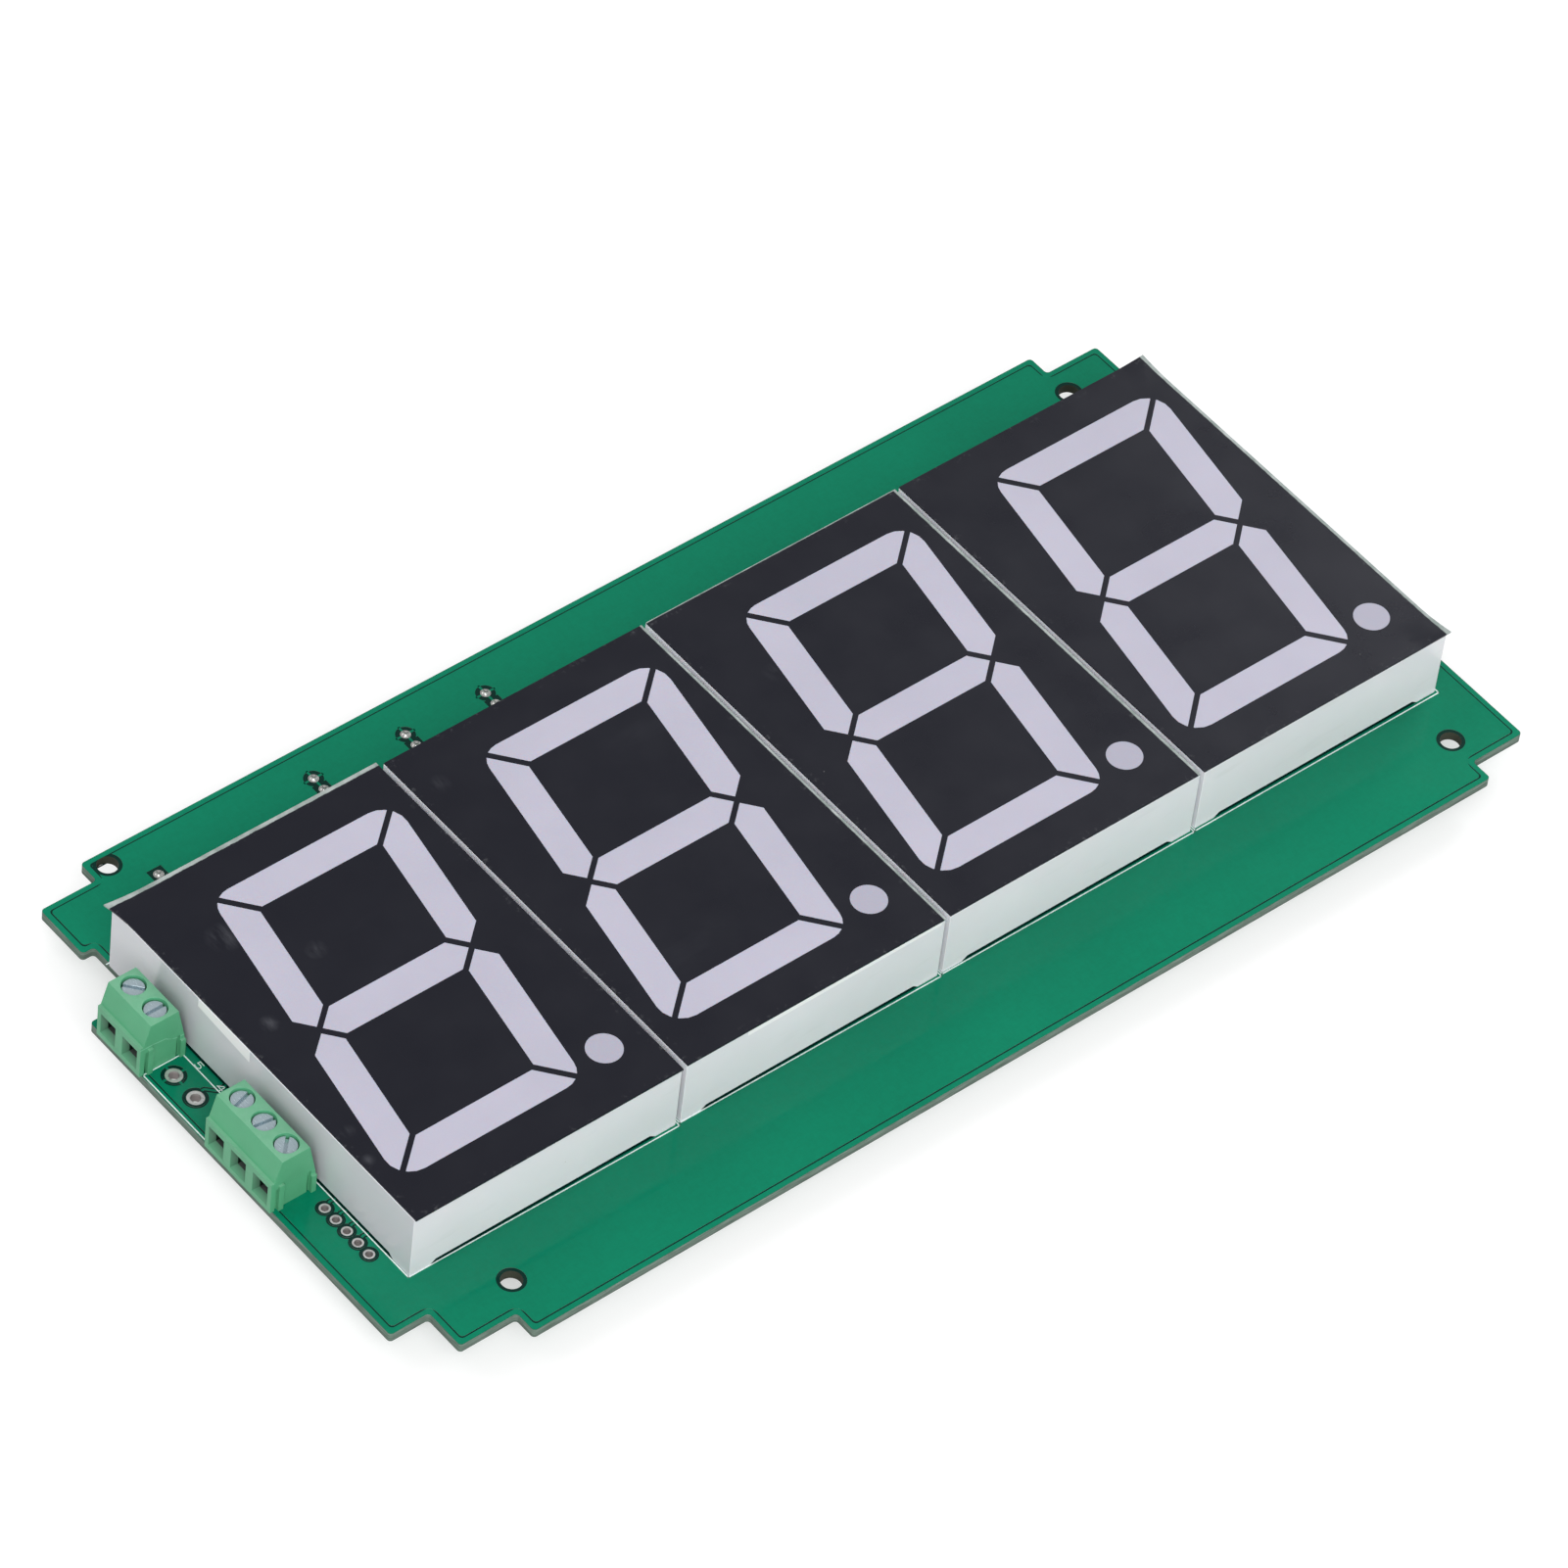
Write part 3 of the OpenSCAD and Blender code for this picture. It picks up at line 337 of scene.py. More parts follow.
def black_film(name, middle, half, margins, seed):
    """Black print on a clear film: black inside the margins and pale outside them, with a worn border."""
    f = Finish(name)
    x, y = f.part("X") - middle.x, f.part("Y") - middle.y
    ragged = f.noise(700 + 9 * seed, 5, 0.7) - 0.5
    inside = None
    for margin, distance in zip(margins, (x + half.x, half.x - x, y + half.y, half.y - y)):
        if margin:
            edge = f.span(distance - margin + ragged * (0.5 * margin), -0.05 * MM, 0.05 * MM)
            inside = f.math("MINIMUM", inside, edge) if inside else edge
    smudge = f.span(f.noise(1, 5, 0.62, f.stretched(38, 90 + seed, 60)), 0.62, 0.84)
    black = f.blend(smudge * 0.2, (0.0066, 0.007, 0.0125), (0.034, 0.036, 0.046))
    hairline = f.cells(1, f.stretched(60, 1500, 60))[0] < 0.012
    black = f.blend(hairline * 0.06, black, (0.2, 0.2, 0.22))
    black = f.blend(f.specks(170 + seed, 0.016) * 0.4, black, (0.3, 0.3, 0.3))
    near_edge = f.math("MINIMUM", half.x - abs(x), half.y - abs(y))
    scuffs = f.span(near_edge, 1.4 * MM, 0.2 * MM) * f.span(f.noise(900, 4, 0.7), 0.58, 0.75)
    black = f.blend(scuffs * 0.16, black, (0.4, 0.41, 0.42))
    for place, reach, strength in SMUDGES.get(seed, ()):
        spot = f.span(f.away(in_row(*place)), reach * MM, 0.0, 0.0, strength)
        streak = f.span(f.noise(1, 3, 0.55, f.stretched(900, 260, 400)), 0.35, 0.7)
        black = f.blend(spot * streak, black, (0.33, 0.34, 0.38))
    clear = f.blend(f.span(f.noise(500, 4), 0.35, 0.7), (0.25, 0.3, 0.28), (0.44, 0.48, 0.47))
    return f.set(colour=f.blend(inside, clear, black), roughness=f.cloud(120, 4, 0.26, 0.34), ior=1.38,
                 tint=(0.9, 0.91, 1.0), normal=f.bump(f.noise(7000, 1), 0.04))


# A painted highlight along the upper edge of the sunk panel at the power block's end: where each stretch starts
# and ends past the pole, and what it adds to the edge's height there, in millimetres
PANEL_HIGHLIGHT_EDGE = ((-2.1, 0.25, 5.7, 5.42), (0.25, 1.1, 0.0, -0.75), (1.1, 2.6, 0.0, -0.4))


def terminal_plastic(colour, name):
    """Satin green polyamide, with painted shade down its wire entries and in the clamp spaces behind them."""
    f = Finish(name)
    far_below = in_row(0, POLE_START - 40 * POLE_PITCH).y
    beside = f.math("PINGPONG", f.part("Y") - far_below, POLE_PITCH * MM / 2)
    height = f.part("Z") - BOARD_TOP
    depth = f.part("X") - in_row(POLE_X - BLOCK_FRONT, 0).x
    down_entry = (beside < 1.8 * MM) * (height < 5.4 * MM)
    # Painted shade down the wire entries: stronger further in, on faces turned to -Y and on downward faces, and
    # near black in the clamp spaces
    shade = f.span(depth, 0.06 * MM, 0.7 * MM, 0.15, 0.42) + f.span(f.facing("Y"), -0.3, 0.3, 0.3, -0.12)
    shade = (shade + f.span(f.facing("Z"), -0.1, -0.4, 0.0, 0.25)) * (depth > 0.04 * MM)
    shade = f.math("MAXIMUM", shade, depth > 0.86 * MM)
    level = f.cloud(180, 3, 0.94, 1.05) * (1.02 - down_entry * shade)
    # Painted sheen: upward faces lightened towards pale grey, broken up by noise
    painted_top_sheen = f.span(f.facing("Z"), 0.5, 0.95, 0.0, 0.09) * f.cloud(700, 3, 0.7, 1.2)
    tone = f.blend(painted_top_sheen, f.scaled(colour, level), (0.75, 0.8, 0.78))
    # Painted highlight: a pale line along the sunk panel's upper edge on the power block's end face
    past_pole = depth - BLOCK_FRONT * MM
    steps = [f.span(past_pole, *(at * MM for at in stretch)) for stretch in PANEL_HIGHLIGHT_EDGE]
    near = f.span(abs(height - sum(steps[1:], steps[0])), 0.13 * MM, 0.05 * MM)
    near = near * (f.facing("Y") < -0.9) * (f.part("Y") > in_row(0, POLE_START + 5.4 * POLE_PITCH).y)
    return f.set(colour=f.blend(near * 0.5, tone, (0.3, 0.66, 0.45)), roughness=f.cloud(600, 2, 0.36, 0.46),
                 ior=1.42, normal=f.bump(f.noise(5200, 2), 0.12))


def brushed_metal(name, colour, roughness, stretch=(400, 400, 4000), sheen=1.0):
    """Plated metal with fine drawing marks; a sheen below 1 scatters more of the light."""
    f = Finish(name)
    lines = f.noise(1, 3, 0.6, f.stretched(*stretch))
    tone = f.blend(f.span(lines), shaded(colour, 0.9), shaded(colour, 1.06))
    tone = f.blend(f.span(f.noise(900, 3), 0.55, 0.8) * 0.14, tone, shaded(colour, 0.55))
    return f.set(colour=tone, metallic=sheen, normal=f.bump(lines, 0.16),
                 roughness=f.span(lines, to_low=roughness - 0.06, to_high=roughness + 0.1))


def hole_plating(name):
    """Tinned copper rings, with painted shade that turns the hole walls darker and browner further down."""
    f = Finish(name)
    lines = f.noise(900, 3, 0.6)
    # Painted shade down the hole walls
    down = f.span(f.part("Z"), BOARD_TOP, BOARD_TOP - 0.5 * MM, 0.55, 1.0) * (abs(f.facing("Z")) < 0.5)
    tone = f.blend(f.span(lines), (0.5, 0.485, 0.48), (0.72, 0.7, 0.69))
    return f.set(colour=f.blend(down, tone, (0.26, 0.225, 0.22)), metallic=0.55, normal=f.bump(lines, 0.16),
                 roughness=f.span(lines, to_low=0.24, to_high=0.4))


def solder_metal(name):
    """Bright solder with a slightly frosted skin and flux haze."""
    f = Finish(name)
    frost = f.noise(3200, 3)
    return f.set(colour=f.blend(f.span(frost), (0.5, 0.49, 0.47), (0.78, 0.77, 0.75)), metallic=0.75,
                 roughness=f.span(frost, to_low=0.2, to_high=0.36), normal=f.bump(frost, 0.3))


def matte_stock(name, dark, light, rough, scale):
    """Mottled matt material for moulded chips, ceramics and bare boards."""
    f = Finish(name)
    grain = f.noise(scale, 3)
    return f.set(colour=f.blend(f.span(grain), dark, light), ior=1.5, normal=f.bump(grain, 0.2),
                 roughness=f.span(grain, to_low=rough - 0.05, to_high=rough + 0.08))


# Meshes

def merged_copy(node):
    """A bmesh of a frame node with its loose triangles merged and its flat faces whole."""
    bm = bmesh.new()
    bm.from_mesh(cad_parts[node].data)
    bmesh.ops.remove_doubles(bm, verts=bm.verts, dist=0.002 * MM)
    bmesh.ops.dissolve_limit(bm, angle_limit=math.radians(0.5), verts=bm.verts, edges=bm.edges)
    return bm


def mesh_from(bm, name):
    mesh = bpy.data.meshes.new(name)
    bm.to_mesh(mesh)
    bm.free()
    return mesh


def put(name, data):
    """A new object in the scene with that data."""
    made = bpy.data.objects.new(name, data)
    bpy.context.scene.collection.objects.link(made)
    return made


def shade_evenly(made):
    made.modifiers.new("Even shading", "WEIGHTED_NORMAL").keep_sharp = True


def piece(name, bm, material, replaced=(), smooth_angle=35.0):
    """Makes the bmesh a piece of the module."""
    for face in bm.faces:
        face.smooth = True
    mesh = mesh_from(bm, name)
    mesh.set_sharp_from_angle(angle=math.radians(smooth_angle))
    mesh.materials.append(material)
    made = put(name, mesh)
    shade_evenly(made)
    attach(made, "root")
    if replaced:
        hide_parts(*replaced)
    return made


def dress(node, material):
    """Gives a frame node its finish."""
    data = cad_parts[node].data
    data.materials.clear()
    data.materials.append(material)


def soft_piece(name, node, width, wanted, material):
    """A piece in place of a frame node, with the sharp edges that the test picks rounded."""
    bm = merged_copy(node)
    sharp = [e for e in bm.edges
             if len(e.link_faces) == 2 and e.calc_face_angle(0) > math.radians(25) and wanted(e)]
    bmesh.ops.bevel(bm, geom=sharp, offset=width, offset_type="OFFSET", segments=2, profile=0.5,
                    affect="EDGES", material=-1, clamp_overlap=True, loop_slide=True)
    piece(name, bm, material, [node])


def thicken(bm, height):
    """Gives flat faces a thickness upwards and turns all faces outwards."""
    made = bmesh.ops.extrude_face_region(bm, geom=bm.faces[:])["geom"]
    tops = [v for v in made if isinstance(v, bmesh.types.BMVert)]
    bmesh.ops.translate(bm, vec=(0, 0, height), verts=tops)
    bmesh.ops.recalc_face_normals(bm, faces=bm.faces)


def add_outline(bm, points, height):
    """A flat face through the points, at that height."""
    face = bm.faces.new([bm.verts.new((p[0], p[1], height)) for p in points])
    if face.normal.z < 0:
        face.normal_flip()


def add_rectangle(bm, x, y, wide, tall, height):
    """A flat face round a place, given in millimetres apart from its height."""
    low, high = spots(((x - wide / 2, y - tall / 2), (x + wide / 2, y + tall / 2)))
    add_outline(bm, [low, (high.x, low.y), high, (low.x, high.y)], height)


def add_disc(bm, site, radius, height, steps):
    """A flat disc round a place given in millimetres."""
    bmesh.ops.create_circle(bm, cap_ends=True, segments=steps, radius=radius,
                            matrix=Matrix.Translation((*in_row(*site).xy, height)))


def add_band(bm, first, second, height):
    """Flat faces between two closed rows of places."""
    rims = [[bm.verts.new((*p, height)) for p in row] for row in (first, second)]
    for i in range(len(rims[0])):
        bm.faces.new((rims[0][i - 1], rims[0][i], rims[1][i], rims[1][i - 1]))


def add_path(bm, points, width, height):
    """A flat strip of one width through the points, with mitred corners."""
    rims = []
    for i, p in enumerate(points):
        back = (p - points[i - 1]).normalized() if i else None
        on = (points[i + 1] - p).normalized() if i + 1 < len(points) else None
        along = ((back or on) + (on or back)).normalized()
        across = Vector((-along.y, along.x)) * width / 2 / max(0.4, along.dot(back or on))
        rims.append([bm.verts.new((*(p - across), height)), bm.verts.new((*(p + across), height))])
    for (a, b), (c, d) in zip(rims, rims[1:]):
        bm.faces.new((a, c, d, b))


def add_turned(bm, profile, steps):
    """A closed profile of radii and heights turned about the upright axis; gives its corners."""
    before = len(bm.verts)
    verts = [bm.verts.new((r, 0, z)) for r, z in profile]
    edges = [bm.edges.new(pair) for pair in zip(verts, verts[1:] + verts[:1])]
    bmesh.ops.spin(bm, geom=verts + edges, cent=(0, 0, 0), axis=(0, 0, 1), angle=math.tau, steps=steps,
                   use_merge=True)
    bm.verts.ensure_lookup_table()
    return bm.verts[before:]


def board_outline(inset, inner_radius=CORNER_R * MM):
    """Places of the board's outline set in from its edge, with rounded outer and inner corners."""
    corners = spots(BOARD_CORNERS)
    count = len(corners)
    sides = [(corners[(i + 1) % count] - corners[i]).normalized() for i in range(count)]
    places = []
    for i, corner in enumerate(corners):
        back, on = -sides[i - 1], sides[i]
        middle = corner + inset * (Vector((back.y, -back.x)) + Vector((-on.y, on.x)))
        turns_in = back.x * on.y - back.y * on.x > 0
        r = inner_radius if turns_in else CORNER_R * MM
        centre = middle + r * (back + on)
        for step in range(5):
            angle = math.radians(90 * step / 4)
            places.append(centre - r * (on * math.cos(angle) + back * math.sin(angle)))
    return places


def cut_out(target, cutter_mesh):
    """Takes the cutter out of the target's mesh, merges doubled corners and shades the faces flat."""
    cutter = put("cutter", cutter_mesh)
    modifier = target.modifiers.new("Cut", "BOOLEAN")
    modifier.operation = "DIFFERENCE"
    modifier.solver = "EXACT"
    modifier.use_self = True
    modifier.object = cutter
    graph = bpy.context.evaluated_depsgraph_get()
    target.data = bpy.data.meshes.new_from_object(target.evaluated_get(graph))
    target.modifiers.clear()
    shade_evenly(target)
    bpy.data.objects.remove(cutter)
    bm = bmesh.new()
    bm.from_mesh(target.data)
    bmesh.ops.remove_doubles(bm, verts=bm.verts, dist=0.0005 * MM)
    for face in bm.faces:
        face.smooth = False
    bm.to_mesh(target.data)
    bm.free()


# Settings that a user would change

class BoardLook(bpy.types.PropertyGroup):
    mask: bpy.props.FloatVectorProperty(
        name="Mask", description="Solder mask over copper", subtype="COLOR", default=(0.0013, 0.194, 0.104))
    bare_mask: bpy.props.FloatVectorProperty(
        name="Mask without copper", description="Solder mask over bare board", subtype="COLOR",
        default=(0.0005, 0.027, 0.02))
    edge_mask: bpy.props.FloatVectorProperty(
        name="Mask at the edge", description="Solder mask on the border outside the copper", subtype="COLOR",
        default=(0.001, 0.2, 0.108))
    ink_width: bpy.props.FloatProperty(
        name="Ink line", description="Width of the white printed lines", default=0.2 * MM, unit="LENGTH")
    copper_step: bpy.props.FloatProperty(
        name="Copper step", description="How far masked copper stands above the bare board",
        default=0.035 * MM, unit="LENGTH")
    border: bpy.props.FloatProperty(
        name="Border", description="Distance from the board's edge to the copper", default=1.05 * MM,
        unit="LENGTH")
    border_line: bpy.props.FloatProperty(
        name="Border line", description="Width of the dark line round the copper", default=0.22 * MM,
        unit="LENGTH")
    track: bpy.props.FloatProperty(
        name="Track", description="Width of the tracks and of the bridges to the pads", default=0.36 * MM,
        unit="LENGTH")


class DigitLook(bpy.types.PropertyGroup):
    edge_radius: bpy.props.FloatProperty(
        name="Case edge", description="Rounding of the case's outer edges", default=0.09 * MM, unit="LENGTH")
    corner_reach: bpy.props.FloatProperty(
        name="Lifted corner", description="Length of film that bends at a lifted corner", default=6 * MM,
        unit="LENGTH")


class TerminalLook(bpy.types.PropertyGroup):
    plastic: bpy.props.FloatVectorProperty(
        name="Plastic", description="Moulded terminal bodies", subtype="COLOR", default=(0.085, 0.35, 0.182))
    edge_radius: bpy.props.FloatProperty(
        name="Body edge", description="Rounding of the bodies' edges", default=0.05 * MM, unit="LENGTH")


class StageLook(bpy.types.PropertyGroup):
    floor: bpy.props.FloatVectorProperty(
        name="Floor", description="Colour of the floor and backdrop", subtype="COLOR", default=(0.5, 0.5, 0.5))
    world: bpy.props.FloatProperty(
        name="World", description="Strength of the light from all round", default=0.4)


# Operators, in the order in which they run

class DISPLAY_OT_small_parts(bpy.types.Operator):
    """Finish the plating, chips, leads and inner parts"""
    bl_idname = "display.small_parts"
    bl_label = "Small Parts"

    def execute(self, context):
        # Each finish and the frame nodes that have it
        stocks = (
            (hole_plating("tinned_copper"), ["plated_holes"]),
            (brushed_metal("tinned_brass", (0.12, 0.115, 0.1), 0.5),
             ["signal_terminal_clamps", "power_terminal_clamps"]),
            (matte_stock("chip_epoxy", (0.018, 0.018, 0.019), (0.04, 0.04, 0.042), 0.55, 2600.0),
             ["driver_chips", "control_chip", "regulator"]),
            (brushed_metal("lead_frame", (0.68, 0.68, 0.68), 0.3),
             ["driver_chip_leads", "control_chip_leads", "regulator_leads"]),
            (matte_stock("resistor_glaze", (0.01, 0.01, 0.012), (0.035, 0.035, 0.04), 0.25, 1800.0),
             ["segment_resistors"]),
            (brushed_metal("tinned_ends", (0.66, 0.66, 0.65), 0.35, (1500, 1500, 1500)),
             ["segment_resistor_ends", "chip_capacitor_ends"]),
            (matte_stock("capacitor_ceramic", (0.36, 0.25, 0.15), (0.52, 0.38, 0.25), 0.45, 1500.0),
             ["chip_capacitors"]),
            (matte_stock("shrink_sleeve", (0.012, 0.016, 0.03), (0.03, 0.036, 0.06), 0.3, 700.0),
             ["capacitor_cans"]),
            (brushed_metal("tinned_wire", (0.68, 0.68, 0.66), 0.28),
             ["capacitor_leads"] + [f"digit_{n}_pins" for n in DIGITS]),
            (matte_stock("bare_fibre", (0.5, 0.47, 0.3), (0.66, 0.62, 0.42), 0.6, 700.0),
             [f"digit_{n}_lamp_board" for n in DIGITS]),
            (matte_stock("lamp_die", (0.5, 0.4, 0.1), (0.75, 0.62, 0.2), 0.3, 3000.0),
             [f"digit_{n}_lamp_dice" for n in DIGITS]),
        )
        for finish, nodes in stocks:
            for node in nodes:
                dress(node, finish)
        return {"FINISHED"}


class DISPLAY_OT_solder_joints(bpy.types.Operator):
    """Flow a solder joint round each pin and lead"""
    bl_idname = "display.solder_joints"
    bl_label = "Solder Joints"

    def execute(self, context):
        finish = solder_metal("solder")
        dice = random.Random(5)
        above, below = BOARD_TOP + 0.05 * MM, BOARD_LOW.z - 0.05 * MM
        # Sites, height, way up or down, and in millimetres the radii of pad and lead and how tall the joint is
        leads = ((LEAD_SITES, above, 1, 0.74, 0.27, 0.55),)
        pins = ((digit_pin_sites(), below, -1, 0.88, 0.32, 1.1), (CLAMP_SITES, below, -1, 1.12, 0.52, 1.3))
        for name, groups, node in (("lead_joints", leads, "lead_solder"), ("pin_joints", pins, "pin_solder")):
            bm = bmesh.new()
            for sites, height, way, pad, lead, tall in groups:
                for site in sites:
                    self.joint(bm, site, height, way, pad * MM, lead * MM, tall * MM, dice)
            bmesh.ops.recalc_face_normals(bm, faces=bm.faces)
            piece(name, bm, finish, [node], 60)
        return {"FINISHED"}

    def joint(self, bm, site, height, way, pad, lead, tall, dice):
        """A hollow curved cone of solder from the pad up the lead."""
        lean = dice.uniform(0.85, 1.15)
        sides = [(pad, 0.0), (pad * 0.985, tall * 0.08)]
        sides += [(lead + (pad - lead) * (1 - t) ** 2.2 * lean, tall * (0.1 + 0.9 * t ** 0.85))
                  for t in (0.2, 0.45, 0.7, 0.9)]
        sides += [(lead * 1.03, tall), (lead, 0.0)]
        made = add_turned(bm, [(r, way * z) for r, z in sides], 20)
        turn = Matrix.Rotation(dice.uniform(0, math.tau), 3, "Z")
        bmesh.ops.rotate(bm, verts=made, cent=(0, 0, 0), matrix=turn)
        bmesh.ops.translate(bm, verts=made, vec=(*in_row(*site).xy, height))


class DISPLAY_OT_board(bpy.types.Operator):
    """Finish the main board and lay its masked copper, tracks and border"""
    bl_idname = "display.board"
    bl_label = "Main Board"

    def execute(self, context):
        look = context.scene.board_look
        dress("main_board", mask_over_fibre(tuple(look.bare_mask), "mask_over_bare_board", tuple(look.mask)))
        copper = mask_over_fibre(tuple(look.mask), "mask_over_copper")

        bm = bmesh.new()
        add_outline(bm, board_outline(look.border, 1.6 * MM), BOARD_TOP)
        thicken(bm, look.copper_step)
        cut_out(piece("masked_copper", bm, copper), self.clearances())

        bm = bmesh.new()
        add_band(bm, board_outline(0.02 * MM), board_outline(look.border - look.border_line), BOARD_TOP)
        thicken(bm, look.copper_step / 4)
        piece("masked_border", bm, mask_over_fibre(tuple(look.edge_mask), "mask_over_border"))

        bm = bmesh.new()
        for sites, inner, outer in ((HEADER_SITES, 0.86, 1.15), (SPARE_SITES, 1.33, 1.65)):
            for site in sites:
                self.rim(bm, site, inner * MM, outer * MM)
        bmesh.ops.recalc_face_normals(bm, faces=bm.faces)
        piece("masked_rims", bm, mask_over_fibre(tuple(look.bare_mask), "mask_over_rims"))

        bm = bmesh.new()
        half_step = look.copper_step / 2
        # Bridges to the pads: sites, where they start and end in millimetres, and how far they stand up
        bridges = ((SPARE_SITES[1:], 1.36, 2.1, 0.05 * MM), (CAN_SITES[1:], 0.7, 1.75, half_step))
        for sites, inner, outer, up in bridges:
            for x, y in sites:
                for across, along in ((1, 0), (0, 1), (-1, 0), (0, -1)):
                    ends = spots((x + across * r, y + along * r) for r in (inner, outer))
                    add_path(bm, ends, look.track, BOARD_TOP + up)
        for path in self.tracks():
            add_path(bm, spots(path), look.track, BOARD_TOP + half_step)
        thicken(bm, half_step)
        piece("masked_tracks", bm, copper)
        return {"FINISHED"}

    def rim(self, bm, site, inner, outer):
        """A thin ring of mask that laps over the edge of a plated ring."""
        low, high = BOARD_TOP, BOARD_TOP + 0.062 * MM
        made = add_turned(bm, [(inner, low), (outer, low), (outer, high - 0.02 * MM), (inner, high)], 32)
        bmesh.ops.translate(bm, verts=made, vec=(*in_row(*site).xy, 0))

    def tracks(self):
        """Tracks that leave the header pads and the lower spare pad towards the digits."""
        paths = [[(x + 0.75, y + 0.3), (x + 1.35, y + 0.62), (0.2, y + 0.5)] for x, y in HEADER_SITES[1:]]
        x, y = SPARE_SITES[0]
        paths.append([(x + 1.2, y + 0.6), (x + 2.0, y + 0.6), (x + 3.2, y - 0.6), (0.2, y - 0.6)])
        return paths

    def clearances(self):
        """Cutters for the bare rings round pads and holes, beside tracks and under the digits."""
        bm = bmesh.new()
        low = BOARD_TOP - 0.3 * MM
        discs = ((MOUNT_SITES, 2.2), (HEADER_SITES, 1.42), (SPARE_SITES, 1.93), (CAN_SITES[1:], 1.55))
        for sites, radius in discs:
            for site in sites:
                add_disc(bm, site, radius * MM, low, 48)
        for site in (CAN_SITES[0], *LEAD_SITES[1::2]):
            add_rectangle(bm, *site, 2.6, 2.6, low)
        for path in self.tracks():
            add_path(bm, spots(path), 0.9 * MM, low)
        # The bare board under each digit stands as painted shade in the slots below the cases
        for n in DIGITS:
            add_rectangle(bm, case_left(n) + CASE_W / 2, CASE_L / 2, CASE_W, CASE_L - 0.04, low)
        thicken(bm, 0.6 * MM)
        return mesh_from(bm, "clearances")


# Tracks on the underside of a digit's right half, in millimetres from its middle; those of its left half mirror
# them. They run from the driver chip to the resistors and on to the pins
HALF_TRACKS = (
    ((2.9, 4.445), (3.0, 5.2), (1.25, 6.95), (1.25, 9.1)),
    ((2.9, 3.175), (3.3, 3.175), (3.75, 3.625), (3.75, 9.1)),
    ((2.9, 1.905), (5.0, 1.905), (6.25, 3.155), (6.25, 9.1)),
    ((2.9, 0.635), (3.9, 0.635), (4.515, 1.25), (8.1, 1.25), (8.75, 1.9), (8.75, 9.1)),
    ((1.25, 10.9), (1.25, 14.0), (2.54, 15.29), (2.54, 29.65)),
    ((3.75, 10.9), (3.75, 14.0), (5.08, 15.33), (5.08, 29.65)),
    ((8.75, 10.9), (8.75, 12.0), (9.5, 12.75), (10.5, 12.75), (11.25, 12.0), (11.25, -20.0), (2.54, -28.71),
     (2.54, -29.65)),
    ((6.25, 10.9), (6.25, 13.2), (7.0, 13.95), (11.3, 13.95), (12.3, 12.95), (12.3, -22.0), (5.08, -29.22),
     (5.08, -29.65)))
LEAD_PITCH = 1.27
# Pads of a lead and of a chip resistor's or capacitor's end: how far out, how wide and how tall
LEAD_PAD = (2.85, 1.3, 0.62)
PART_PAD = (0.98, 1.4, 0.95)
RESISTORS_UP = 10.0
RESISTOR_PITCH = 2.5
CAPACITOR_BESIDE = 6.0
CONTROL_SITE = (56.75, 17)
REGULATOR_SITE = (6.0, 64.0)


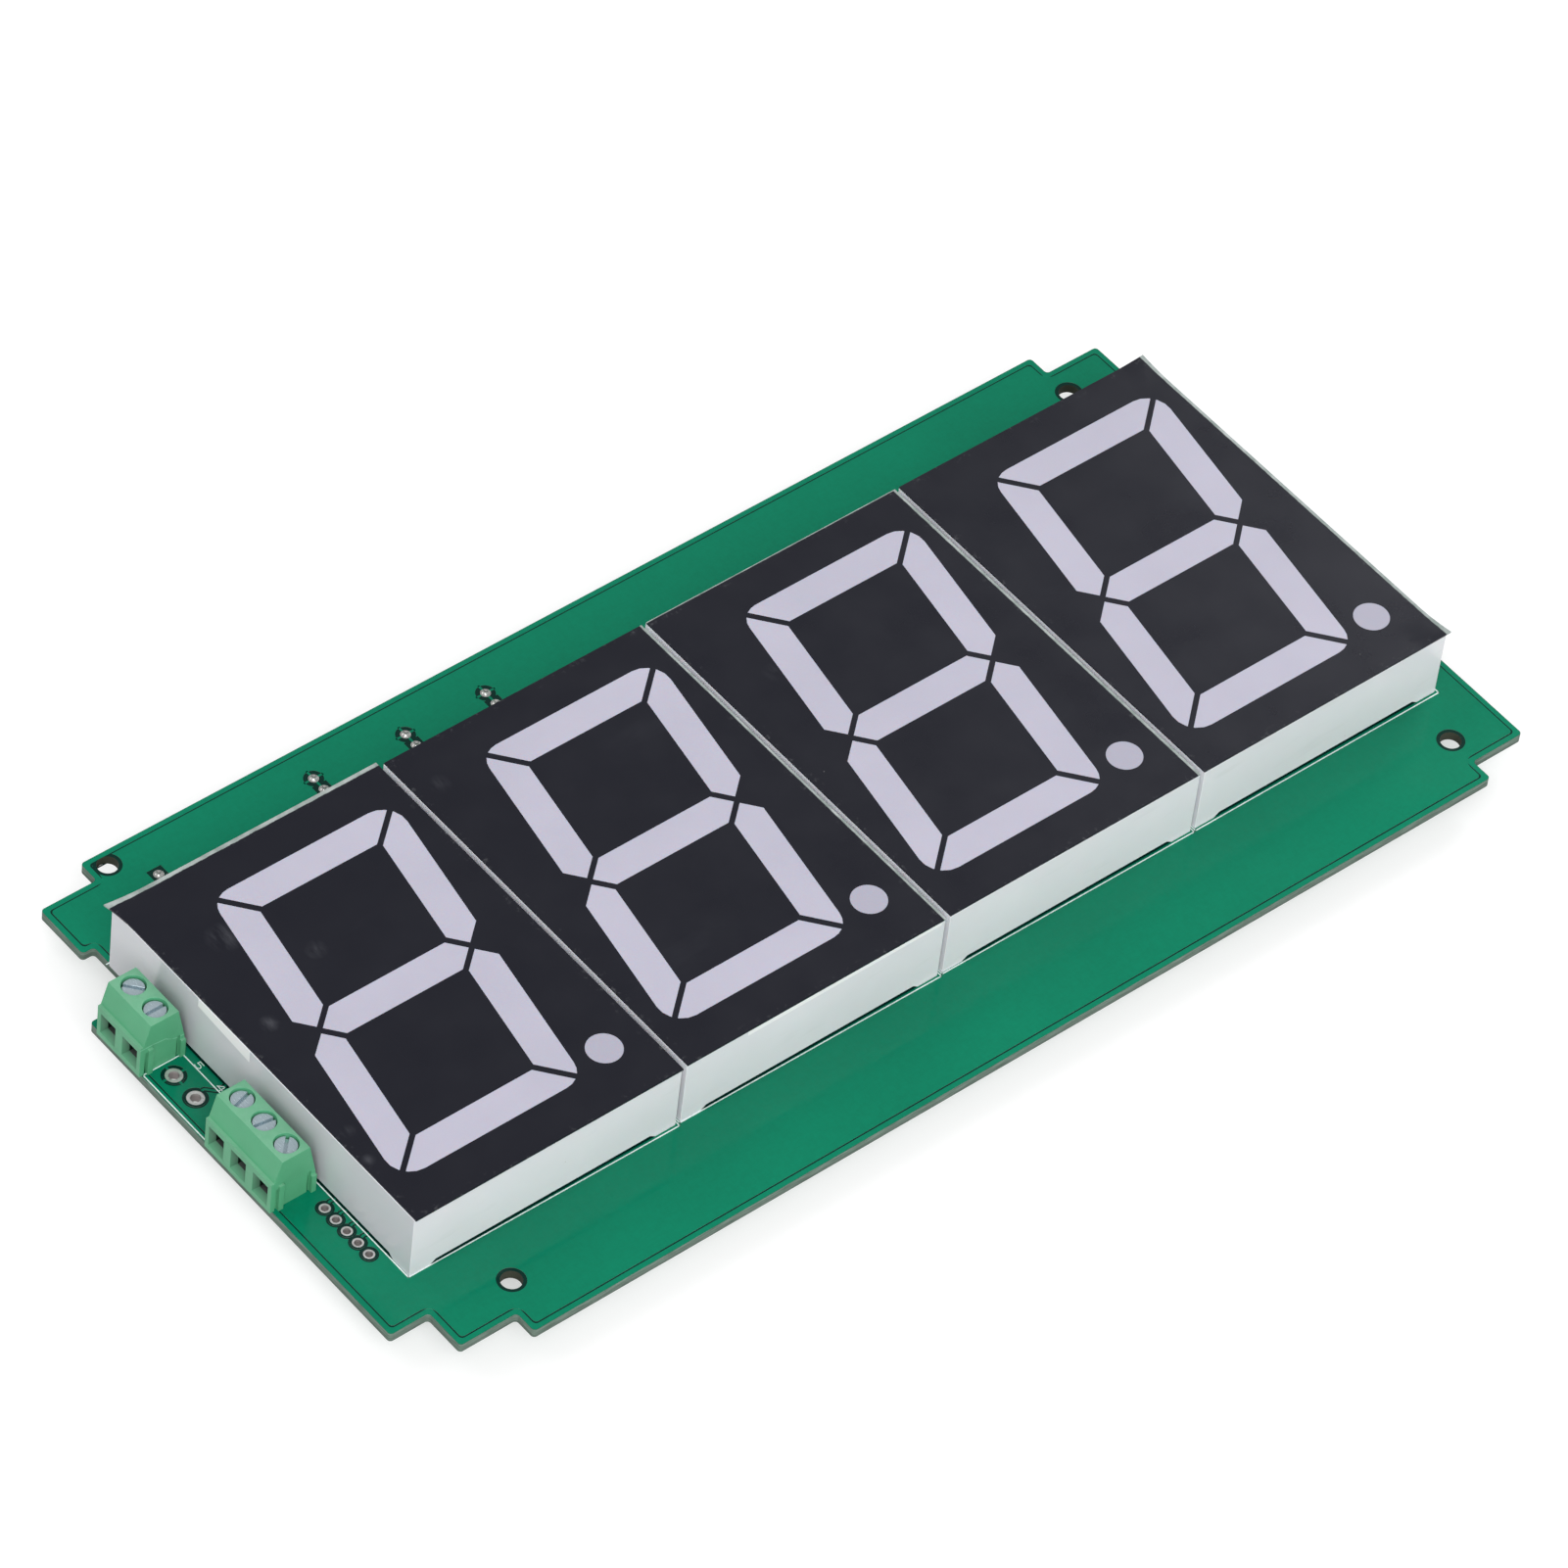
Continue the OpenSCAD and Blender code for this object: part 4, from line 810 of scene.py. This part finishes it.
class DISPLAY_OT_underside(bpy.types.Operator):
    """Lay the masked copper, pads and vias of the underside"""
    bl_idname = "display.underside"
    bl_label = "Underside"

    def execute(self, context):
        look = context.scene.board_look
        paths, pads, vias = [], [], []
        for n in DIGITS:
            x, y = case_left(n) + CASE_W / 2, CASE_L / 2
            for side in (-1, 1):
                paths += [[(x + side * p, y + q) for p, q in path] for path in HALF_TRACKS]
            for i in range(8):
                pads += self.part_pads(x + (i - 3.5) * RESISTOR_PITCH, y + RESISTORS_UP)
            self.chip(x, y, 8, range(4), paths, pads, vias)
        self.chip(*CONTROL_SITE, 7, range(7), paths, pads, vias)
        x, y = REGULATOR_SITE
        pads += [(x + 3.05, y + i * 2.3, 1.7, 1.15) for i in (-1, 0, 1)] + [(x - 3.05, y, 1.7, 3.5)]
        pads += self.part_pads(x + CAPACITOR_BESIDE + 0.5, y)

        bare, copper, tin = bmesh.new(), bmesh.new(), bmesh.new()
        self.layer = BOARD_LOW.z
        # Bare rings: their sites and their inner and outer radii in millimetres
        for sites, inner, outer in (
                (digit_pin_sites(), 0.86, 1.28), (CLAMP_SITES, 1.05, 1.5), (HEADER_SITES, 0.95, 1.4),
                (SPARE_SITES, 1.46, 1.9), (LEAD_SITES, 0.78, 1.2), (MOUNT_SITES, 1.68, 2.2), (vias, 0.4, 0.7)):
            for site in sites:
                add_band(bare, self.circle(site, inner * MM), self.circle(site, outer * MM), self.deeper())
        border = (look.border - look.border_line, look.border)
        add_band(bare, *map(board_outline, border), self.deeper())
        for path in paths:
            add_path(bare, spots(path), look.track + 0.5 * MM, self.deeper())
        for x, y, wide, tall in pads:
            add_rectangle(bare, x, y, wide + 0.44, tall + 0.44, self.deeper())
        self.layer -= 0.01 * MM
        for path in paths:
            add_path(copper, spots(path), look.track, self.deeper())
        for site in vias:
            add_disc(copper, site, 0.42 * MM, self.deeper(), 32)
        for pad in pads:
            add_rectangle(tin, *pad, self.deeper())
        gap_mask = mask_over_fibre(tuple(look.bare_mask), "mask_over_gaps")
        track_mask = mask_over_fibre(tuple(look.mask), "mask_over_tracks")
        for name, bm, material, slot in (
                ("bare_gaps_below", bare, gap_mask, "solder_mask"),
                ("masked_tracks_below", copper, track_mask, "solder_mask"),
                ("tinned_pads_below", tin, solder_metal("tinned_pads"), "solder")):
            thicken(bm, 0.06 * MM)
            piece(name, bm, material)
        return {"FINISHED"}

    def deeper(self):
        """The height of the next shape, a hair below the last, so that no two faces lie in one plane."""
        self.layer -= 0.00008 * MM
        return self.layer

    def circle(self, site, radius):
        middle = in_row(*site).xy
        turns = [math.tau * i / 32 for i in range(32)]
        return [middle + radius * Vector((math.cos(a), math.sin(a))) for a in turns]

    def part_pads(self, x, y):
        """The two pads of a chip resistor or capacitor."""
        return [(x, y + side * PART_PAD[0], PART_PAD[1], PART_PAD[2]) for side in (-1, 1)]

    def chip(self, x, y, leads, free, paths, pads, vias):
        """The pads of a chip and its capacitor, with a short track and a via for each free lead."""
        for side in (-1, 1):
            for i in range(leads):
                up = (i - (leads - 1) / 2) * LEAD_PITCH
                pads.append((x + side * LEAD_PAD[0], y + up, LEAD_PAD[1], LEAD_PAD[2]))
                out = 4.5 if i % 2 else 5.4
                if i in free and (side < 0 or leads == 8 and abs(up) > 1.9):
                    paths.append([(x + side * 2.9, y + up), (x + side * out, y + up)])
                    vias.append((x + side * out, y + up))
        pads += self.part_pads(x + CAPACITOR_BESIDE, y)
        if leads == 8:
            paths.append([(x + 2.9, y - 0.635), (x + 5.0, y - 0.635), (x + 5.6, y - 0.95)])


# How far each digit's printed outline stands out below its case, at its left and right ends, in millimetres
OUTLINE_OUT = {1: (0.02, 0.45), 2: (0.05, 0.42), 3: (0.18, 0.42), 4: (0.36, 0.46)}
# Where the outline beside the terminals ends, behind the three-pole block
FIRST_LINE_END = 34.0
# Strokes of the two pole numbers, in millimetres, read with the terminals to the left
NUMBER_STROKES = {
    "4": (((0.85, 0), (0.85, 1.7)), ((0.7, 1.7), (0, 0.55), (1.15, 0.55))),
    "5": (((0, 0.15), (0.35, 0), (0.75, 0), (1.05, 0.3), (1.05, 0.75), (0.75, 1.05), (0.1, 1.0), (0.1, 1.7),
           (1.05, 1.7)),),
}
NUMBER_PLACES = {"4": (-1.22, 42.2), "5": (-1.22, 47.3)}


class DISPLAY_OT_printed_lines(bpy.types.Operator):
    """Print the white lines round the digits and terminals and the pole numbers"""
    bl_idname = "display.printed_lines"
    bl_label = "Printed Lines"

    def execute(self, context):
        look = context.scene.board_look
        height = BOARD_TOP + look.copper_step
        lines = []
        for n in DIGITS:
            left = case_left(n)
            out_left, out_right = OUTLINE_OUT[n]
            right, top = left + CASE_W + 0.4, CASE_L + 0.4
            lines.append([(left - 0.15, -out_left), (right, -out_right), (right, top), (left - 0.12, top)])
            lines.append([(left - 0.15, -out_left), (left - 0.15, FIRST_LINE_END if n == 1 else top)])
        low, high = POLE_START - 0.3 * POLE_PITCH, POLE_START + 5.5 * POLE_PITCH
        lines.append([(-8.3, low), (-8.3, high), (-1.35, high), (-1.35, low)])
        bm = bmesh.new()
        for line in lines:
            points = spots(line)
            for a, b in zip(points, points[1:]):
                past = (b - a).normalized() * look.ink_width / 2
                add_path(bm, [a - past, b + past], look.ink_width, height)
        for number, (x, y) in NUMBER_PLACES.items():
            for stroke in NUMBER_STROKES[number]:
                points = spots((x + 0.62 * q, y + 0.9 - p) for p, q in stroke)
                add_path(bm, points, 0.7 * look.ink_width, height)
        thicken(bm, 0.02 * MM)
        piece("printed_lines", bm, printed_white("white_ink"))
        return {"FINISHED"}


class DISPLAY_OT_cases(bpy.types.Operator):
    """Mould the white digit cases with soft outer edges"""
    bl_idname = "display.cases"
    bl_label = "Digit Cases"

    def execute(self, context):
        radius = context.scene.digit_look.edge_radius
        finish = case_white("white_case")
        for n in DIGITS:
            node = f"digit_{n}_case"
            low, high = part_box(node)

            def outer(edge):
                return all(min(v.co.x - low.x, high.x - v.co.x, v.co.y - low.y, high.y - v.co.y) < 0.01 * MM
                           for v in edge.verts)

            soft_piece(f"digit_{n}_white_case", node, radius, outer, finish)
        return {"FINISHED"}


# Clear border left by the black print on each digit: left, right, lower and upper, in millimetres
PRINT_MARGINS = {
    1: (0.0, 0.0, 0.0, 0.65), 2: (0.0, 0.35, 0.0, 0.0), 3: (0.0, 0.4, 0.0, 0.15), 4: (0.0, 0.5, 0.0, 0.0)}
# How far each film stands out on those sides, in millimetres
FILM_REACH = {
    1: (0.0, 0.1, 0.38, 0.72), 2: (0.08, 0.1, 0.16, 0.0), 3: (0.1, 0.1, 0.06, 0.0), 4: (0.16, 0.55, 0.06, 0.0)}
# Film corners that have come unstuck: side, end, how far they stand out and how far they lift, in millimetres
LIFTED_CORNERS = {1: ((-1, 1, 0.85, 0.3),), 4: ((1, 1, 0.2, 0.25), (1, -1, 0.35, 0.3))}


class DISPLAY_OT_faces(bpy.types.Operator):
    """Print the black faces and cast the resin segments"""
    bl_idname = "display.faces"
    bl_label = "Digit Faces"

    def execute(self, context):
        resin = segment_resin("segment_resin")
        reach = context.scene.digit_look.corner_reach
        for n in DIGITS:
            node = f"digit_{n}_face_film"
            low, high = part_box(node)
            left, right, lower, upper = (r * MM for r in FILM_REACH[n])
            bm = merged_copy(node)
            for v in bm.verts:
                v.co.x += right * (v.co.x > high.x - 0.01 * MM) - left * (v.co.x < low.x + 0.01 * MM)
                v.co.y += upper * (v.co.y > high.y - 0.01 * MM) - lower * (v.co.y < low.y + 0.01 * MM)
            low += Vector((-left, -lower, 0))
            high += Vector((right, upper, 0))
            middle = (low + high) / 2
            half = (high - low) / 2
            margins = [m * MM for m in PRINT_MARGINS[n]]
            for side, end, out, lift in LIFTED_CORNERS.get(n, ()):
                self.lift(bm, middle, half, side, end, out * MM, lift * MM, reach)
            piece(f"digit_{n}_printed_film", bm, black_film(f"black_print_{n}", middle, half, margins, n),
                  [node])
            dress(f"digit_{n}_segments", resin)
        return {"FINISHED"}

    def lift(self, bm, middle, half, side, end, out, rise, reach):
        """Bends one corner of the film outwards and up."""
        corner = Vector((middle.x + side * half.x, middle.y + end * half.y, 0))
        for share in (0.2, 0.4, 0.7, 1.0):
            for normal, way in ((Vector((1, 0, 0)), side), (Vector((0, 1, 0)), end)):
                bmesh.ops.bisect_plane(bm, geom=bm.verts[:] + bm.edges[:] + bm.faces[:], dist=0.0001 * MM,
                                       plane_co=corner - normal * way * share * reach, plane_no=normal)
        for v in bm.verts:
            near = 1 - max(abs(v.co.x - corner.x), abs(v.co.y - corner.y)) / reach
            if near > 0:
                v.co += Vector((side * out * near ** 2, end * out * 0.4 * near ** 2, rise * near ** 1.5))


class DISPLAY_OT_terminals(bpy.types.Operator):
    """Mould the green terminal bodies and turn their screws"""
    bl_idname = "display.terminals"
    bl_label = "Screw Terminals"

    def execute(self, context):
        look = context.scene.terminal_look
        plastic = terminal_plastic(tuple(look.plastic), "green_terminal")
        steel = brushed_metal("zinc_screw", (0.5, 0.61, 0.67), 0.2, (5000, 900, 900), 0.6)
        pole_x = in_row(POLE_X, 0).x
        pole_y = [in_row(*site).y for site in CLAMP_SITES]
        room = 2.1 * MM

        def outside(edge):
            middle = (edge.verts[0].co + edge.verts[1].co) / 2
            beside = min(abs(middle.y - y) for y in pole_y)
            height = middle.z - BOARD_TOP
            in_cavity = abs(middle.x - pole_x) < room and height < 7.6 * MM
            in_mouth = middle.x < pole_x and 0.3 * MM < height < 5.3 * MM
            return height > 0.1 * MM and not (beside < room and (in_cavity or in_mouth))

        def on_top(edge):
            return edge.verts[0].co.z > BOARD_TOP + 8.5 * MM

        for name in ("signal", "power"):
            soft_piece(f"{name}_terminal_body", f"{name}_terminal_block", look.edge_radius, outside,
                       plastic)
            soft_piece(f"{name}_slotted_screws", f"{name}_terminal_screws", 0.07 * MM, on_top,
                       steel)
        return {"FINISHED"}


# Name, place, size and power of each lamp; all are aimed at the digits
LAMPS = (
    ("key", (-0.68, -1.05, 0.95), 1.4, 22.9),
    ("side", (1.15, 0.42, 0.74), 0.5, 6.9),
    ("back", (-0.55, 1.0, 1.05), 1.1, 6.0),
)
# The camera fitted to the photo: its place, its own right and up, and its lens in widths of the picture
CAMERA_PLACE = (-0.641096, -0.640596, 1.006894)
CAMERA_RIGHT = (0.769265, -0.632702, 0.088997)
CAMERA_UP = (0.424344, 0.610058, 0.669150)
LENS_WIDTHS = 9433.65 / 1601


class DISPLAY_OT_stage(bpy.types.Operator):
    """Set the floor, light and camera"""
    bl_idname = "display.stage"
    bl_label = "Stage"

    def execute(self, context):
        look = context.scene.stage_look
        self.floor(look)
        self.room(look)
        self.lamps()
        self.camera()
        context.scene.view_settings.view_transform = "Standard"
        return {"FINISHED"}

    def floor(self, look):
        """A pale floor with a little light of its own for the camera, so that it shows white."""
        bm = bmesh.new()
        bmesh.ops.create_grid(bm, x_segments=4, y_segments=4, size=2.5)
        floor = put("floor", mesh_from(bm, "floor"))
        f = Finish("pale_floor")
        path = f.node("ShaderNodeLightPath", "Is Camera Ray")
        seen = f.math("MAXIMUM", path, Value(f, path.socket.node.outputs["Is Glossy Ray"]))
        f.set(colour=f.scaled(tuple(look.floor), f.cloud(6, 3, 0.985, 1.0)), roughness=0.9, specular=0.1,
              emission=(1, 1, 1), emission_strength=seen * 0.56)
        floor.data.materials.append(f.material)

    def room(self, look):
        """Even light from all round, which the camera sees as white."""
        world = bpy.data.worlds.new("soft_room")
        bpy.context.scene.world = world
        world.use_nodes = True
        tree = world.node_tree
        room = tree.nodes["Background"]
        room.inputs["Color"].default_value = (1, 1, 1, 1)
        seen = tree.nodes.new("ShaderNodeLightPath").outputs["Is Camera Ray"]
        strength = tree.nodes.new("ShaderNodeMapRange")
        strength.inputs["To Min"].default_value = look.world
        strength.inputs["To Max"].default_value = 1.0
        tree.links.new(seen, strength.inputs["Value"])
        tree.links.new(strength.outputs["Result"], room.inputs["Strength"])

    def lamps(self):
        for name, place, size, power in LAMPS:
            data = bpy.data.lights.new(name, "AREA")
            data.shape = "SQUARE"
            data.size = size
            data.energy = power
            lamp = put(name, data)
            lamp.location = place
            lamp.rotation_euler = (-Vector(place)).to_track_quat("-Z", "Y").to_euler()

    def camera(self):
        data = bpy.data.cameras.new("camera")
        data.sensor_width = 36.0
        data.lens = data.sensor_width * LENS_WIDTHS
        data.clip_start = 0.05
        data.clip_end = 20.0
        camera = put("camera", data)
        right, up = Vector(CAMERA_RIGHT), Vector(CAMERA_UP)
        turn = Matrix((right, up, right.cross(up))).transposed()
        camera.matrix_world = Matrix.Translation(CAMERA_PLACE) @ turn.to_4x4()
        bpy.context.scene.camera = camera


STEPS = (DISPLAY_OT_small_parts, DISPLAY_OT_solder_joints, DISPLAY_OT_board, DISPLAY_OT_underside,
         DISPLAY_OT_printed_lines, DISPLAY_OT_cases, DISPLAY_OT_faces, DISPLAY_OT_terminals, DISPLAY_OT_stage)
LOOKS = {"board_look": BoardLook, "digit_look": DigitLook, "terminal_look": TerminalLook,
         "stage_look": StageLook}


class DISPLAY_PT_module(bpy.types.Panel):
    """Steps and settings of the display module"""
    bl_idname = "DISPLAY_PT_module"
    bl_label = "Display Module"
    bl_space_type = "VIEW_3D"
    bl_region_type = "UI"
    bl_category = "Display"

    def draw(self, context):
        for step in STEPS:
            self.layout.operator(step.bl_idname)
        for name, look in LOOKS.items():
            settings = getattr(context.scene, name)
            box = self.layout.box()
            for key in look.__annotations__:
                box.prop(settings, key)


def register():
    for kind in (*LOOKS.values(), *STEPS, DISPLAY_PT_module):
        bpy.utils.register_class(kind)
    for name, look in LOOKS.items():
        setattr(bpy.types.Scene, name, bpy.props.PointerProperty(type=look))


def unregister():
    for name in LOOKS:
        delattr(bpy.types.Scene, name)
    for kind in reversed((*LOOKS.values(), *STEPS, DISPLAY_PT_module)):
        bpy.utils.unregister_class(kind)


def main():
    register()
    bpy.ops.display.small_parts()
    bpy.ops.display.solder_joints()
    bpy.ops.display.board()
    bpy.ops.display.underside()
    bpy.ops.display.printed_lines()
    bpy.ops.display.cases()
    bpy.ops.display.faces()
    bpy.ops.display.terminals()
    bpy.ops.display.stage()


if __name__ == "__main__":
    main()
